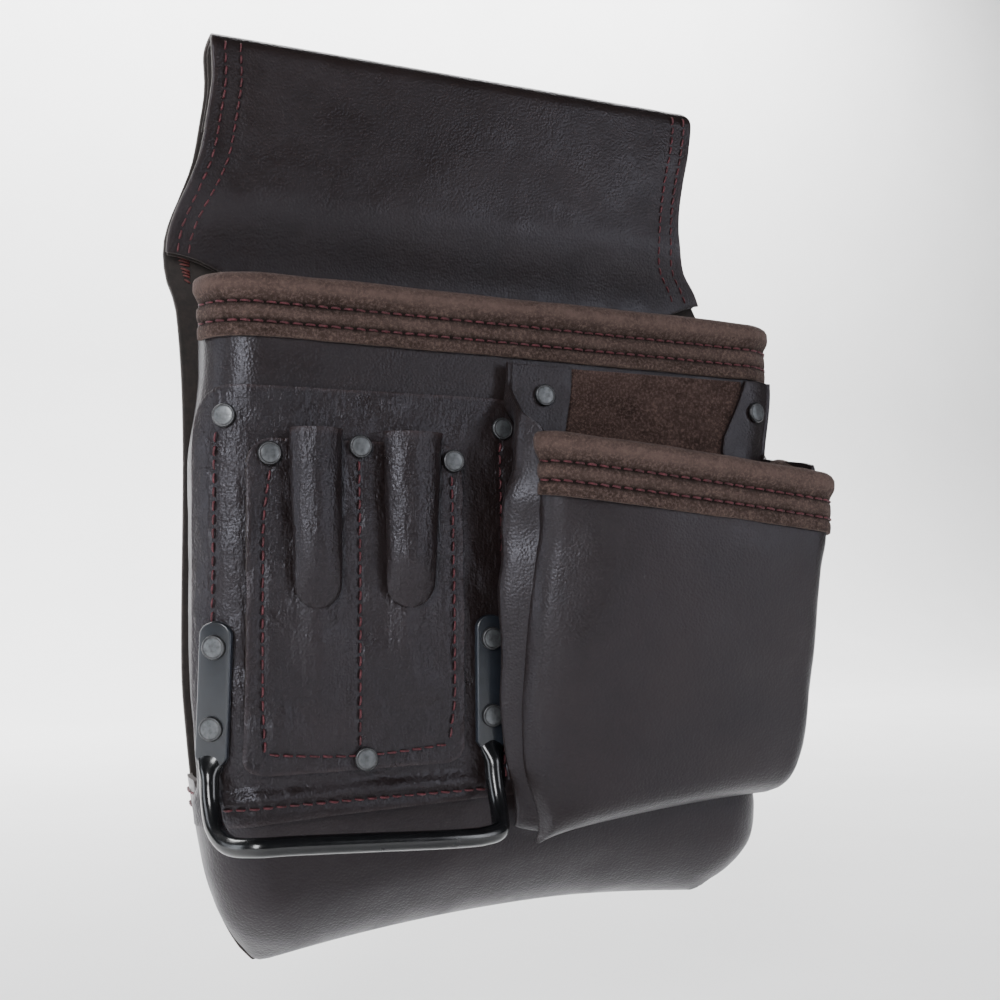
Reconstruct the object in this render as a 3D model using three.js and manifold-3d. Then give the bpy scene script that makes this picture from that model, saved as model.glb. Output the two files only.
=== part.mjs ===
// Electrician's leather tool pouch, worn on a belt.
// Millimetres. +X is to the right when the front is looked at, +Y points to the wearer, +Z is up.
// The origin is the centre of the belt tunnel.
import * as THREE from 'three';
import { mergeVertices } from 'three/addons/utils/BufferGeometryUtils.js';
import Module from 'manifold-3d';

const wasm = await Module();
wasm.setup();

// ---------------------------------------------------------------- driving dimensions
const GAP = 0.35;                 // air between two layers that touch
const BACK_LEATHER = 2.8;         // back panel and belt loop
const LINING = 1.4;
const BAG_LEATHER = 2.2;          // main bag front and gussets
const BOOT_LEATHER = 2.0;
const PATCH_LEATHER = 2.0;
const POCKET_LEATHER = 1.8;       // inner patch and small bag
const SLEEVE_LEATHER = 1.5;
const SUEDE = 1.4;
const BINDING_SUEDE = 1.7;

const LOOP_DEPTH = 17.2;          // belt loop, front to rear, outside
const LOOP_TOP = 47;
const LOOP_BOTTOM = -50;          // where the flap meets the back panel
const LOOP_CLOSING = 20;          // the height over which it comes in
const FLAP_END = -62;             // the flap's hem, inside the bag
const FLAP_TONGUE = { rise: 18, from: 70, over: 55 };
const FLAP_EDGE_FOOT = -46;       // the flap's sides run straight down from here
const REAR = LOOP_DEPTH / 2;      // the rear face is the plane y = REAR

const BAG_CENTRE = 1.5;           // the bag sits a little to the right of the belt loop
const BAG_CORNER = 18;
const BAG_CROWN = 1.5;
const SIDE_PINCH = 4;             // the side walls draw in towards the back panel
const PINCH_DEPTH = 25;
const SEAM_ANGLE = 1.4;           // how far round the corner the front panel reaches, radians
const BACK_FACE = BACK_LEATHER + GAP;
const WALL_FOOT = BACK_FACE + 1.6;    // where the side walls stop short of the back panel

const RIM_HEIGHT = -60.5;
const RIM_SLOPE = -0.012;
const BINDING_DEPTH = 24.5;       // height of both suede bindings
const BOOT_TOP = -244;             // at the sides; the front edge is lower, behind the patch
const BOOT_FRONT_TOP = -251;
const BOOT_LAP = 8;
const BOTTOM_TILT = 0.05;
const BOTTOM_RISE = 8;
const BOTTOM_ARCH = 0.000665;
const TOE_SPREAD = 11;            // the boot's right corner is fuller: wider, and deeper at the front
const TOE_PUSH = 8;
const TOE = { from: 30, over: 70, top: -250, tall: 50 };
const RIM_LEAN = 4.5;             // the mouth sits this far to the right of the bag below
const LEAN_FOOT = -126;
const LEAN_TALL = 36;
const DROP = { top: -230, tall: 70 };    // where the bottom's hang sets in

const SMALL_RIM_HEIGHT = -118;
const SMALL_RIM_SLOPE = -0.11;
const SMALL_CORNER = 8;
const SMALL_CROWN = 4;
const SMALL_TILT = 0.06;          // the small bag stands further out on its right side
const EAR_LIFT = PATCH_LEATHER + 2 * GAP;

const PLATE = { width: 12, top: -186.5, shoulder: -236, thickness: 3 };
const ROD_RADIUS = 3.4;
const LOOP_LEFT = -114;
const LOOP_RIGHT = -13;

const RIVET = { head: 4.4, dome: 1.7, shank: 1.6, sides: 8 };
const BURR = { radius: 3.6, thickness: 1.1 };
const HOLE = RIVET.shank + GAP;

// ---------------------------------------------------------------- colours
const COLOURS = {
  leather: [0x3a3230, 0.5, 0],
  patch: [0x3c3436, 0.45, 0],
  suede: [0x5c4a43, 0.95, 0],
  lining: [0x45382f, 0.8, 0],
  rivet: [0x5a5b60, 0.4, 0.9],
  loop: [0x15171b, 0.25, 0.6],
};

// ---------------------------------------------------------------- small helpers
const clamp = (value, low, high) => Math.min(high, Math.max(low, value));
const mix = (a, b, t) => a + (b - a) * t;
const smooth = (t) => {
  const s = clamp(t, 0, 1);
  return s * s * (3 - 2 * s);
};
const spread = (from, to, steps) => Array.from({ length: steps + 1 }, (_, i) => mix(from, to, i / steps));

// A point from its place across, its distance in front of the rear face, and its height.
const at = (across, forward, height) => new THREE.Vector3(across, REAR - forward, height);

// Smooth values between the rows of a table whose first column falls steadily.
function stationAt(table, height) {
  const last = table.length - 1;
  let row = 0;
  while (row < last - 1 && height < table[row + 1][0]) row += 1;
  const before = table[Math.max(row - 1, 0)];
  const after = table[Math.min(row + 2, last)];
  const span = table[row + 1][0] - table[row][0];
  const t = clamp((height - table[row][0]) / span, 0, 1);
  return table[row].map((start, column) => {
    const end = table[row + 1][column];
    const slopeIn = (end - before[column]) / (table[row + 1][0] - before[0]) * span;
    const slopeOut = (after[column] - start) / (after[0] - table[row][0]) * span;
    return mix(start, end, smooth(t)) + t * (1 - t) * ((1 - t) * slopeIn - t * slopeOut);
  });
}

// ---------------------------------------------------------------- solids
function solid(positions, triangles) {
  const geometry = new THREE.BufferGeometry();
  const numbers = positions.flatMap((p) => [p.x, p.y, p.z]);
  geometry.setAttribute('position', new THREE.Float32BufferAttribute(numbers, 3));
  geometry.setIndex(triangles);
  return geometry;
}

// Unit normals of a grid of points, from the differences to the neighbours.
function gridNormals(grid) {
  const rows = grid.length - 1;
  const columns = grid[0].length - 1;
  return grid.map((line, j) => line.map((_, i) => {
    const along = line[Math.min(i + 1, columns)].clone().sub(line[Math.max(i - 1, 0)]);
    const up = grid[Math.min(j + 1, rows)][i].clone().sub(grid[Math.max(j - 1, 0)][i]);
    return along.cross(up).normalize();
  }));
}

// A sheet of leather: the grid is its outer face, and the thickness goes inwards.
function sheet(grid, thickness) {
  const rows = grid.length;
  const columns = grid[0].length;
  const normals = gridNormals(grid);
  const outer = grid.flat();
  const inner = grid.flatMap((line, j) => line
    .map((p, i) => p.clone().addScaledVector(normals[j][i], -thickness)));
  const id = (j, i) => j * columns + i;
  const offset = rows * columns;
  const faces = [];
  const quad = (a, b, c, d) => faces.push(a, b, c, a, c, d);
  for (let j = 0; j < rows - 1; j += 1) {
    for (let i = 0; i < columns - 1; i += 1) {
      quad(id(j, i), id(j, i + 1), id(j + 1, i + 1), id(j + 1, i));
      quad(offset + id(j, i), offset + id(j + 1, i), offset + id(j + 1, i + 1), offset + id(j, i + 1));
    }
  }
  const rim = [];
  for (let i = 0; i < columns - 1; i += 1) rim.push(id(0, i));
  for (let j = 0; j < rows - 1; j += 1) rim.push(id(j, columns - 1));
  for (let i = columns - 1; i > 0; i -= 1) rim.push(id(rows - 1, i));
  for (let j = rows - 1; j > 0; j -= 1) rim.push(id(j, 0));
  rim.forEach((a, k) => {
    const b = rim[(k + 1) % rim.length];
    quad(a, offset + a, offset + b, b);
  });
  return solid([...outer, ...inner], faces);
}

// A closed profile carried along a path: each ring is one place on the path.
function loft(rings) {
  const count = rings[0].length;
  const faces = [];
  for (let j = 0; j < rings.length - 1; j += 1) {
    for (let i = 0; i < count; i += 1) {
      const a = j * count + i;
      const b = j * count + ((i + 1) % count);
      faces.push(a, b, b + count, a, b + count, a + count);
    }
  }
  const flat = rings[0].map((p) => p.outline);
  const cap = THREE.ShapeUtils.triangulateShape(flat, []);
  const end = (rings.length - 1) * count;
  cap.forEach(([a, b, c]) => {
    faces.push(a, c, b);
    faces.push(end + a, end + b, end + c);
  });
  return solid(rings.flat().map((p) => p.point), faces);
}

function toManifold(geometry) {
  const bare = geometry.clone();
  bare.deleteAttribute('normal');
  bare.deleteAttribute('uv');
  const merged = mergeVertices(bare, 1e-4);
  return new wasm.Manifold(new wasm.Mesh({
    numProp: 3,
    vertProperties: new Float32Array(merged.attributes.position.array),
    triVerts: new Uint32Array(merged.index.array),
  }));
}

function fromManifold(body) {
  const mesh = body.getMesh();
  const geometry = new THREE.BufferGeometry();
  geometry.setAttribute('position', new THREE.Float32BufferAttribute(Array.from(mesh.vertProperties), 3));
  geometry.setIndex(Array.from(mesh.triVerts));
  return geometry;
}

const cut = (geometry, tools) => fromManifold(
  tools.reduce((body, tool) => body.subtract(tool), toManifold(geometry)));

// ---------------------------------------------------------------- main bag surface
// Rows from the rim to the bottom: height, half width, depth in front of the rear face.
const BAG_ROWS = [
  [-40, 125, 50],
  [-90, 125, 50],
  [-115, 124.5, 50],
  [-165, 124, 50.5],
  [-205, 123.5, 50],
  [-228, 121.5, 49.5],
  [-244, 119, 49],
  [-258, 116.5, 47],
  [-274, 113, 43.5],
  [-288, 108.5, 38],
  [-298, 103.5, 31.5],
  [-305, 99.5, 25],
  [-309.5, 96, 18],
  [-312, 93.5, 11],
  [-313, 92, WALL_FOOT + 2],
];
const BAG_BOTTOM = BAG_ROWS[BAG_ROWS.length - 1][0];

const cornerOf = (depth, corner) => Math.min(corner, depth - WALL_FOOT);

// Distance along the wall, from the middle of the front to a place on the corner.
function wallLength(halfWidth, depth, corner, angle) {
  const radius = cornerOf(depth, corner);
  return halfWidth - radius + radius * angle;
}

// One horizontal section: flat front, round corners, straight sides.
function section(halfWidth, depth, corner, along) {
  const radius = cornerOf(depth, corner);
  const flat = halfWidth - radius;
  const side = Math.sign(along);
  const run = Math.abs(along);
  const quarter = radius * Math.PI / 2;
  if (run <= flat) return [along, depth];
  if (run <= flat + quarter) {
    const angle = (run - flat) / radius;
    return [side * (flat + radius * Math.sin(angle)), depth - radius * (1 - Math.cos(angle))];
  }
  return [side * halfWidth, depth - radius - (run - flat - quarter)];
}

// The bottom hangs lower at the corners, and lowest at the left one.
function bottomDrop(across, height) {
  const share = smooth((DROP.top - height) / DROP.tall);
  return share * (BOTTOM_RISE - BOTTOM_ARCH * across * across + BOTTOM_TILT * across);
}

const toeShare = (across, height) => smooth((across - TOE.from) / TOE.over)
  * smooth((TOE.top - height) / TOE.tall);

function bagPoint(along, height) {
  const [, halfWidth, depth] = stationAt(BAG_ROWS, height);
  const [x, forward] = section(halfWidth, depth, BAG_CORNER, along);
  const crown = BAG_CROWN * (1 - (x / halfWidth) ** 2) * Math.min(1, depth / 40);
  const pinch = SIDE_PINCH * clamp(1 - forward / PINCH_DEPTH, 0, 1) ** 2 * Math.min(1, depth / 30);
  const toe = toeShare(x, height);
  const lean = RIM_LEAN * smooth((height - LEAN_FOOT) / LEAN_TALL);
  const across = x - Math.sign(x) * pinch + TOE_SPREAD * toe + lean;
  const push = TOE_PUSH * toe * (forward - WALL_FOOT) / (depth - WALL_FOOT);
  return at(BAG_CENTRE + across, forward + crown + push, height + bottomDrop(across, height));
}

function bagNormal(along, height) {
  const step = 0.5;
  const acrossStep = bagPoint(along + step, height).sub(bagPoint(along - step, height));
  const low = Math.max(height - step, BAG_BOTTOM);
  const upStep = bagPoint(along, height + step).sub(bagPoint(along, low));
  return acrossStep.cross(upStep).normalize();
}

const onBag = (along, height, lift) => bagPoint(along, height)
  .addScaledVector(bagNormal(along, height), lift);

const seamAt = (height) => {
  const [, halfWidth, depth] = stationAt(BAG_ROWS, height);
  return wallLength(halfWidth, depth, BAG_CORNER, SEAM_ANGLE);
};

// Distance along the wall to the back panel, less the corner that the pinch takes away.
const wallEnd = (height) => {
  const [, halfWidth, depth] = stationAt(BAG_ROWS, height);
  const radius = cornerOf(depth, BAG_CORNER);
  return wallLength(halfWidth, depth, BAG_CORNER, Math.PI / 2) + Math.max(depth - radius - WALL_FOOT, 0);
};

// Places along the wall at one height, from corner to corner: even on the flat, closer on the corners, and on
// down the sides where side steps are given.
function wallPlaces(height, angle, flatSteps, cornerSteps, sideSteps) {
  const [, halfWidth, depth] = stationAt(BAG_ROWS, height);
  const radius = cornerOf(depth, BAG_CORNER);
  const flat = halfWidth - radius;
  const half = [
    ...spread(0, flat, flatSteps),
    ...spread(flat, flat + radius * angle, cornerSteps).slice(1),
    ...(sideSteps ? spread(flat + radius * angle, wallEnd(height), sideSteps).slice(1) : []),
  ];
  return [...half.slice(1).map((place) => -place).reverse(), ...half];
}

// Distance along the wall for a place across the front.
function alongFor(across, height) {
  const [, halfWidth, depth] = stationAt(BAG_ROWS, height);
  const radius = cornerOf(depth, BAG_CORNER);
  const x = Math.abs(across - BAG_CENTRE);
  const flat = halfWidth - radius;
  const angle = Math.asin(clamp((x - flat) / radius, 0, 1));
  return Math.sign(across - BAG_CENTRE) * (Math.min(x, flat) + radius * angle);
}

// ---------------------------------------------------------------- back panel and belt loop
// Rows: height, left edge, right edge.
const PANEL_EDGES = [
  [48, -110.5, 109],
  [42, -111.5, 112.5],
  [27, -111, 111],
  [12, -113, 107.5],
  [-5, -116, 104.5],
  [-18, -120.5, 104.5],
  [-30, -125, 108],
  [-40, -127, 117],
  [-52, -126, 123],
  [-64, -122, 125],
  [-110, -119, 121.5],
  [-205, -119, 120],
  [-232, -117, 118],
  [-256, -114, 117],
  [-278, -110, 117],
  [-295, -104, 115],
  [-309, -97, 111],
  [-316, -91.5, 104],
];
const PANEL_BOTTOM = PANEL_EDGES[PANEL_EDGES.length - 1][0];

// The belt loop's path in front of the rear face, as [forward, height]; inset moves it inside the outer face.
function loopPath(inset, share) {
  const radius = REAR - inset;
  const centre = LOOP_TOP - REAR;
  const angle = Math.PI * share;
  return [REAR - radius * Math.cos(angle), centre + radius * Math.sin(angle)];
}

// The flap leaves the fold upright and comes back to the panel below the tunnel.
function flapForward(height, inset) {
  const closed = BACK_FACE + LINING + GAP + BACK_LEATHER;
  const share = clamp((height - LOOP_BOTTOM) / LOOP_CLOSING, 0, 1);
  const slope = (LOOP_DEPTH - closed) * 6 * share * (1 - share) / LOOP_CLOSING;
  return mix(closed, LOOP_DEPTH, smooth(share)) - inset * Math.hypot(1, slope);
}

// The flap's free end is a shallow tongue that reaches down inside the bag.
const flapEnd = (across) => FLAP_END
  + FLAP_TONGUE.rise * smooth((Math.abs(across) - FLAP_TONGUE.from) / FLAP_TONGUE.over);

function panelEdge(height, side) {
  const [, left, right] = stationAt(PANEL_EDGES, height);
  return side < 0 ? left : right;
}

function loopGrid(inset, margin, rearFrom) {
  const folds = spread(0, 1, 7);
  const rear = rearFrom.map((height) => ({ rear: height }));
  const flap = [0.25, 0.5, 0.64, 0.7, 0.76, 0.82, 0.88, 1].map((share) => ({ flap: share }));
  const lines = [...rear, ...folds.map((fold) => ({ fold })), ...flap];
  return lines.map((line) => spread(1, -1, 8).map((side) => {
    const place = (height) => (side < 0 ? -side * (panelEdge(height, -1) + margin)
      : side * (panelEdge(height, 1) - margin));
    if (line.rear !== undefined) {
      const across = place(line.rear);
      return at(across, inset, line.rear + bottomDrop(across, line.rear));
    }
    if (line.fold !== undefined) {
      const [forward, height] = loopPath(inset, line.fold);
      return at(place(height), forward, height);
    }
    const top = LOOP_TOP - REAR;
    const guess = place(mix(top, FLAP_END + 14, line.flap));
    const height = mix(top, flapEnd(guess), line.flap);
    return at(place(Math.max(height, FLAP_EDGE_FOOT)), flapForward(height, inset), height);
  }));
}

function backPanel() {
  const rear = [PANEL_BOTTOM, -309, -300, -288, -270, -245, -205, -160, -110, -70, -52, -40, -26, -10, 10, 28];
  return sheet(loopGrid(0, 0, rear), BACK_LEATHER);
}

function loopLining() {
  return sheet(loopGrid(BACK_LEATHER + 1.5 * GAP, 0.8, [8, 24]), LINING);
}

// ---------------------------------------------------------------- main bag
const BINDING_FOOT = RIM_HEIGHT - BINDING_DEPTH - 3;
const LEAN_ROWS = [LEAN_FOOT, -115, -108, -100, BINDING_FOOT - 4];
const WALL_ROWS = [BOOT_FRONT_TOP - BOOT_LAP, BOOT_FRONT_TOP, BOOT_TOP, -228, -205, -165, ...LEAN_ROWS];

function mainFront() {
  const rows = [...WALL_ROWS, BINDING_FOOT, RIM_HEIGHT - 7.5];
  return sheet(rows.map((height) => wallPlaces(height, SEAM_ANGLE, 3, 5, 0)
    .map((along) => onBag(along, height, 0))), BAG_LEATHER);
}

// The gusset tucks under the front panel below the rim binding, and stops beside it above.
function mainGusset(side) {
  const tuck = 4;
  const rows = [...WALL_ROWS, BINDING_FOOT, RIM_HEIGHT];
  const grid = rows.map((height) => {
    const start = seamAt(height) + (height < BINDING_FOOT ? -tuck : 0.8);
    return spread(start, wallEnd(height), 7).map((along) => onBag(side * along, height, -BAG_LEATHER - GAP));
  });
  if (side < 0) grid.forEach((line) => line.reverse());
  return sheet(grid, BAG_LEATHER);
}

function mainBoot() {
  const lower = BAG_ROWS.map(([height]) => height).filter((height) => height < BOOT_FRONT_TOP).reverse();
  const wall = (height, topAt) => wallPlaces(height, Math.PI / 2, 3, 5, 3)
    .map((along) => onBag(along, topAt(along), BOOT_LEATHER + GAP));
  const topAt = (along) => mix(BOOT_FRONT_TOP, BOOT_TOP, smooth((Math.abs(along) - seamAt(BOOT_TOP)) / 6));
  return sheet([...lower.map((height) => wall(height, () => height)), wall(BOOT_FRONT_TOP, topAt)], BOOT_LEATHER);
}

// Suede folded over an edge, as [lift, height] round the closed profile. Its cavity holds the leather.
function bindingProfile(leather) {
  const outside = BINDING_SUEDE + GAP;
  const inside = -leather - GAP;
  return [
    [GAP, -BINDING_DEPTH],
    [outside, -BINDING_DEPTH],
    [outside + 0.4, -11],
    [outside + 1.7, -6.5],
    [outside + 1.5, -2.6],
    [outside - 0.6, -0.5],
    [-leather / 2, 0],
    [inside - 1.6, -0.8],
    [inside - 3, -4],
    [inside - 2.4, -9],
    [inside - BINDING_SUEDE, -BINDING_DEPTH],
    [inside, -BINDING_DEPTH],
    [inside, -5],
    [GAP, -5],
  ];
}

// The wall function gives a point and its level outward direction at a place and a height below the rim.
function binding(places, leather, wall) {
  const profile = bindingProfile(leather);
  return loft(places.map((place) => profile.map(([lift, height]) => {
    const { point, outward } = wall(place, height);
    return { outline: new THREE.Vector2(lift, height), point: point.addScaledVector(outward, lift) };
  })));
}

const level = (v) => v.setZ(0).normalize();

function mainBinding() {
  const places = wallPlaces(RIM_HEIGHT, SEAM_ANGLE, 3, 5, 0).reverse();
  return binding(places, BAG_LEATHER, (along, down) => {
    const point = bagPoint(along, RIM_HEIGHT);
    point.z += down + RIM_SLOPE * point.x;
    return { point, outward: level(bagNormal(along, RIM_HEIGHT)) };
  });
}

// ---------------------------------------------------------------- small bag surface
// Rows: height, left seam, right seam, depth in front of the rear face, side bulge.
const SMALL_ROWS = [
  [-100, -1.5, 125, 88, 7],
  [-157, -1.5, 125, 88, 11],
  [-170, -3.5, 122.5, 87, 11.5],
  [-197, -9, 121.5, 84, 10.5],
  [-220, -11, 120.5, 80, 10],
  [-244, -9.5, 119, 77, 7.5],
  [-256, -7, 117, 74.5, 5],
  [-262, -5.5, 115.5, 71, 2],
  [-266, -4.5, 114.5, 66, 1],
  [-268, -4, 114, 60, 0],
  [-269, -3.5, 113.5, 56, 0],
];
const SMALL_BOTTOM = SMALL_ROWS[SMALL_ROWS.length - 1][0];
const SMALL_MIDDLE = 57;
const SMALL_HALF = 65;
const SMALL_SEAM_ANGLE = 1.25;

const smallCorner = (depth) => Math.min(SMALL_CORNER, Math.max(depth - 55, 0.9));

function smallPoint(along, height) {
  const [, left, right, depth] = stationAt(SMALL_ROWS, height);
  const middle = (left + right) / 2;
  const half = (right - left) / 2;
  const [x, forward] = section(half, depth, smallCorner(depth), along);
  const across = middle + x;
  const body = clamp((depth - 56) / 15, 0, 1);
  const swell = body * (SMALL_CROWN * (1 - (x / half) ** 2) + SMALL_TILT * (across - SMALL_MIDDLE));
  const share = smooth((-225 - height) / 35);
  const local = (across - SMALL_MIDDLE) / SMALL_HALF;
  const lift = share * (0.1 * (across - SMALL_MIDDLE) + 3 * (1 - local * local));
  return at(across, forward + swell, height + lift);
}

function smallNormal(along, height) {
  const step = 0.4;
  const low = Math.max(height - step, SMALL_BOTTOM);
  const acrossStep = smallPoint(along + step, height).sub(smallPoint(along - step, height));
  return acrossStep.cross(smallPoint(along, height + step).sub(smallPoint(along, low))).normalize();
}

const onSmall = (along, height, lift) => smallPoint(along, height)
  .addScaledVector(smallNormal(along, height), lift);

const smallSeam = (height) => {
  const [, left, right, depth] = stationAt(SMALL_ROWS, height);
  return wallLength((right - left) / 2, depth, smallCorner(depth), SMALL_SEAM_ANGLE);
};

const smallRimHeight = (across) => SMALL_RIM_HEIGHT + SMALL_RIM_SLOPE * across;

// Places along the small front at one height, from seam to seam.
function smallPlaces(height, flatSteps, cornerSteps) {
  const [, left, right, depth] = stationAt(SMALL_ROWS, height);
  const flat = (right - left) / 2 - smallCorner(depth);
  const half = [...spread(0, flat, flatSteps), ...spread(flat, smallSeam(height), cornerSteps).slice(1)];
  return [...half.slice(1).map((place) => -place).reverse(), ...half];
}

function smallFront() {
  const lower = [SMALL_BOTTOM, -268, -266, -262, -256, -244, -220, -197, -182, -170, -163, -157];
  const grid = lower.map((height) => smallPlaces(height, 4, 4).map((along) => onSmall(along, height, 0)));
  grid.push(smallPlaces(SMALL_RIM_HEIGHT, 4, 4).map((along) => {
    const height = smallRimHeight(smallPoint(along, SMALL_RIM_HEIGHT).x) - 6;
    return onSmall(along, height, 0);
  }));
  return sheet(grid, POCKET_LEATHER);
}

function smallBinding() {
  return binding(smallPlaces(SMALL_RIM_HEIGHT, 4, 4).reverse(), POCKET_LEATHER, (along, down) => {
    const height = smallRimHeight(smallPoint(along, SMALL_RIM_HEIGHT).x) + down;
    return { point: smallPoint(along, height), outward: level(smallNormal(along, height)) };
  });
}

// The small bag's side wall: a flange on the main bag with an ear at its top, a fold, and the bulging wall to
// the front seam. Behind the rim binding the wall stops beside the seam; below, it tucks under the front.
const EAR_BOTTOM = -113;
const EAR_TOP = RIM_HEIGHT - BINDING_DEPTH - 2.8;
const FOOT = { left: 2.8, right: 119.5 };
const EAR = { leftReach: 18, rightReachTop: 12, rightReachBottom: 22, tall: 28 };

function smallGusset(side) {
  const rimFoot = smallRimHeight(side < 0 ? 0 : 125) - BINDING_DEPTH - 2;
  const rows = [-259, -250, -235, -215, -195, -175, rimFoot - 3, rimFoot, -126, -119, -115, -112, -100, EAR_TOP];
  const grid = rows.map((height) => {
    const above = smooth((height - EAR_BOTTOM + 3) / 5);
    const [, , , , bulge] = stationAt(SMALL_ROWS, Math.max(height, -250));
    const swell = side < 0 ? bulge : bulge * 0.3;
    const [, bagHalf] = stationAt(BAG_ROWS, height);
    const foot = side < 0 ? FOOT.left : Math.min(FOOT.right, BAG_CENTRE + bagHalf - 6);
    const ear = side < 0 ? EAR.leftReach
      : mix(EAR.rightReachBottom, EAR.rightReachTop, (height - EAR_BOTTOM) / EAR.tall);
    const flange = spread(mix(9, ear, above), 1.5, 3).map((reach) => onBag(
      alongFor(foot - side * reach, height), height, EAR_LIFT));
    const root = onBag(alongFor(foot, height), height, EAR_LIFT + 1.2);
    const behindBinding = height > rimFoot - 1;
    const seamHeight = Math.min(height, smallRimHeight(side < 0 ? 0 : 125) - 2);
    const seamPlace = smallSeam(seamHeight) + (behindBinding ? 1.4 : -4);
    const seam = onSmall(side * seamPlace, seamHeight, -POCKET_LEATHER - 2 * GAP);
    if (behindBinding) seam.z = height;
    const wall = spread(0, 1, 6).slice(1).map((share) => {
      const reach = share * mix(1, 0.06, above);
      const point = root.clone().lerp(seam, reach);
      point.x += side * swell * Math.sin(Math.PI * reach) ** 2;
      return point;
    });
    const line = [...flange, root, ...wall];
    return side < 0 ? line : line.reverse();
  });
  return sheet(grid, POCKET_LEATHER);
}

function smallBack() {
  const rows = [BOOT_TOP, -228, -205, -165, ...LEAN_ROWS, EAR_TOP];
  return sheet(rows.map((height) => spread(5, 106, 4)
    .map((across) => onBag(alongFor(across, height), height, SUEDE + 1.5 * GAP))), SUEDE);
}

// ---------------------------------------------------------------- tool patches and pen sleeves
const OUTER_PATCH = { width: 127, right: 1, top: -102, bottom: -257.5, round: 12, roundBottom: 0 };
const INNER_PATCH = { width: 83, right: -23.5, top: -121.5, bottom: -242, round: 9, roundBottom: 0.6 };

// How far a rounded corner pulls the top or bottom edge in, near a side edge.
function cornerPull(distance, radius) {
  const reach = clamp(radius - distance, 0, radius);
  return radius - Math.sqrt(radius * radius - reach * reach);
}

// Columns are distances from the patch's left edge. The rows' heights are squeezed where a corner is rounded.
function patchGrid(patch, columns, rows, liftAt) {
  return rows.map((row) => columns.map((column) => {
    const pull = cornerPull(Math.min(column, patch.width - column), patch.round);
    const low = patch.bottom + pull * patch.roundBottom;
    const height = mix(low, patch.top - pull, (row - patch.bottom) / (patch.top - patch.bottom));
    return onBag(alongFor(patch.right, height) - patch.width + column, height, liftAt(height));
  }));
}

const edgeColumns = (width, edge, flat) => [
  ...edge, ...flat, ...edge.map((column) => width - column).reverse()];

// The outer patch steps up where it laps over the boot.
const patchLift = (height) => PATCH_LEATHER + GAP
  + (BOOT_LEATHER + GAP) * smooth((BOOT_FRONT_TOP + 6 - height) / 5);

function outerPatch() {
  const { top, bottom, width } = OUTER_PATCH;
  const rows = [bottom, -254, BOOT_FRONT_TOP + 1, -247.5, -245, -228, -205, -165, -126, -115, -108, top];
  const columns = edgeColumns(width, [0, 0.8, 3, 6.5, 10], [13.5, 17, 21, 25, 29, 60, 95]);
  return sheet(patchGrid(OUTER_PATCH, columns, rows, patchLift), PATCH_LEATHER);
}

const POCKET_LIFT = PATCH_LEATHER + 2 * GAP + POCKET_LEATHER;

function innerPatch() {
  const columns = edgeColumns(INNER_PATCH.width, [0, 0.8, 3, 6, 9.5], [30, 53]);
  const rows = [INNER_PATCH.bottom, -228, -205, -165, -130, INNER_PATCH.top];
  return sheet(patchGrid(INNER_PATCH, columns, rows, () => POCKET_LIFT), POCKET_LEATHER);
}

// A half tube, open at the top, whose lower end is a rounded tongue that lies down on the patch.
const SLEEVES = {
  left: { top: -82.6, bottom: -81.5, widthTop: 20, widthBottom: 17.5 },
  right: { top: -44.8, bottom: -46.2, widthTop: 23.5, widthBottom: 18.5 },
};
const SLEEVE_TOP = -118;
const SLEEVE_END = -183.5;
const SLEEVE_SWELL = 8;

function penSleeve({ top, bottom, widthTop, widthBottom }) {
  const rows = [0, 0.035, 0.08, 0.14, 0.25, 0.4, 0.6, 0.8, 1];
  const grid = rows.map((share) => spread(-1, 1, 8).map((side) => {
    const tongue = Math.sqrt(Math.max(1 - clamp((0.14 - share) / 0.14, 0, 0.97) ** 2, 0));
    const half = mix(widthBottom, widthTop, share) / 2 * tongue;
    const across = mix(bottom, top, share) + side * half;
    const height = mix(SLEEVE_END, SLEEVE_TOP, share);
    const arch = Math.sqrt(Math.max(1 - side * side * 0.96, 0)) * smooth(share / 0.5);
    const lift = POCKET_LIFT + GAP + SLEEVE_LEATHER + 0.4 + (SLEEVE_SWELL - 1.5) * arch;
    return onBag(alongFor(across, height), height, lift);
  }));
  return sheet(grid, SLEEVE_LEATHER);
}

// ---------------------------------------------------------------- hammer loop
const PLATE_LIFT = PATCH_LEATHER + 2 * GAP + 0.9;

// A plate lies flat on the leather: its frame is its lower end, and its sideways, upward and outward directions.
function plateFrame(across) {
  const place = (height) => onBag(alongFor(across, height), height, PLATE_LIFT);
  const low = place(PLATE.shoulder);
  const up = place(PLATE.top).sub(low).normalize();
  const middle = (PLATE.top + PLATE.shoulder) / 2;
  const sideways = up.clone().cross(bagNormal(alongFor(across, middle), middle)).normalize();
  const outward = sideways.clone().cross(up).normalize();
  const basis = new THREE.Matrix4().makeBasis(sideways, up, outward).setPosition(low);
  return { low, sideways, up, outward, basis };
}

function plateSolid(across) {
  const half = PLATE.width / 2;
  const tall = PLATE.top - PLATE.shoulder;
  const shape = new THREE.Shape();
  shape.moveTo(-half + 2.4, -1);
  shape.lineTo(half - 2.4, -1);
  shape.lineTo(half, 3);
  shape.lineTo(half, tall - 4.5);
  shape.quadraticCurveTo(half - 0.4, tall, 0, tall);
  shape.quadraticCurveTo(-half + 0.4, tall, -half, tall - 4.5);
  shape.lineTo(-half, 3);
  const options = { depth: PLATE.thickness, bevelEnabled: false, curveSegments: 3 };
  return new THREE.ExtrudeGeometry(shape, options).applyMatrix4(plateFrame(across).basis);
}

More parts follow.
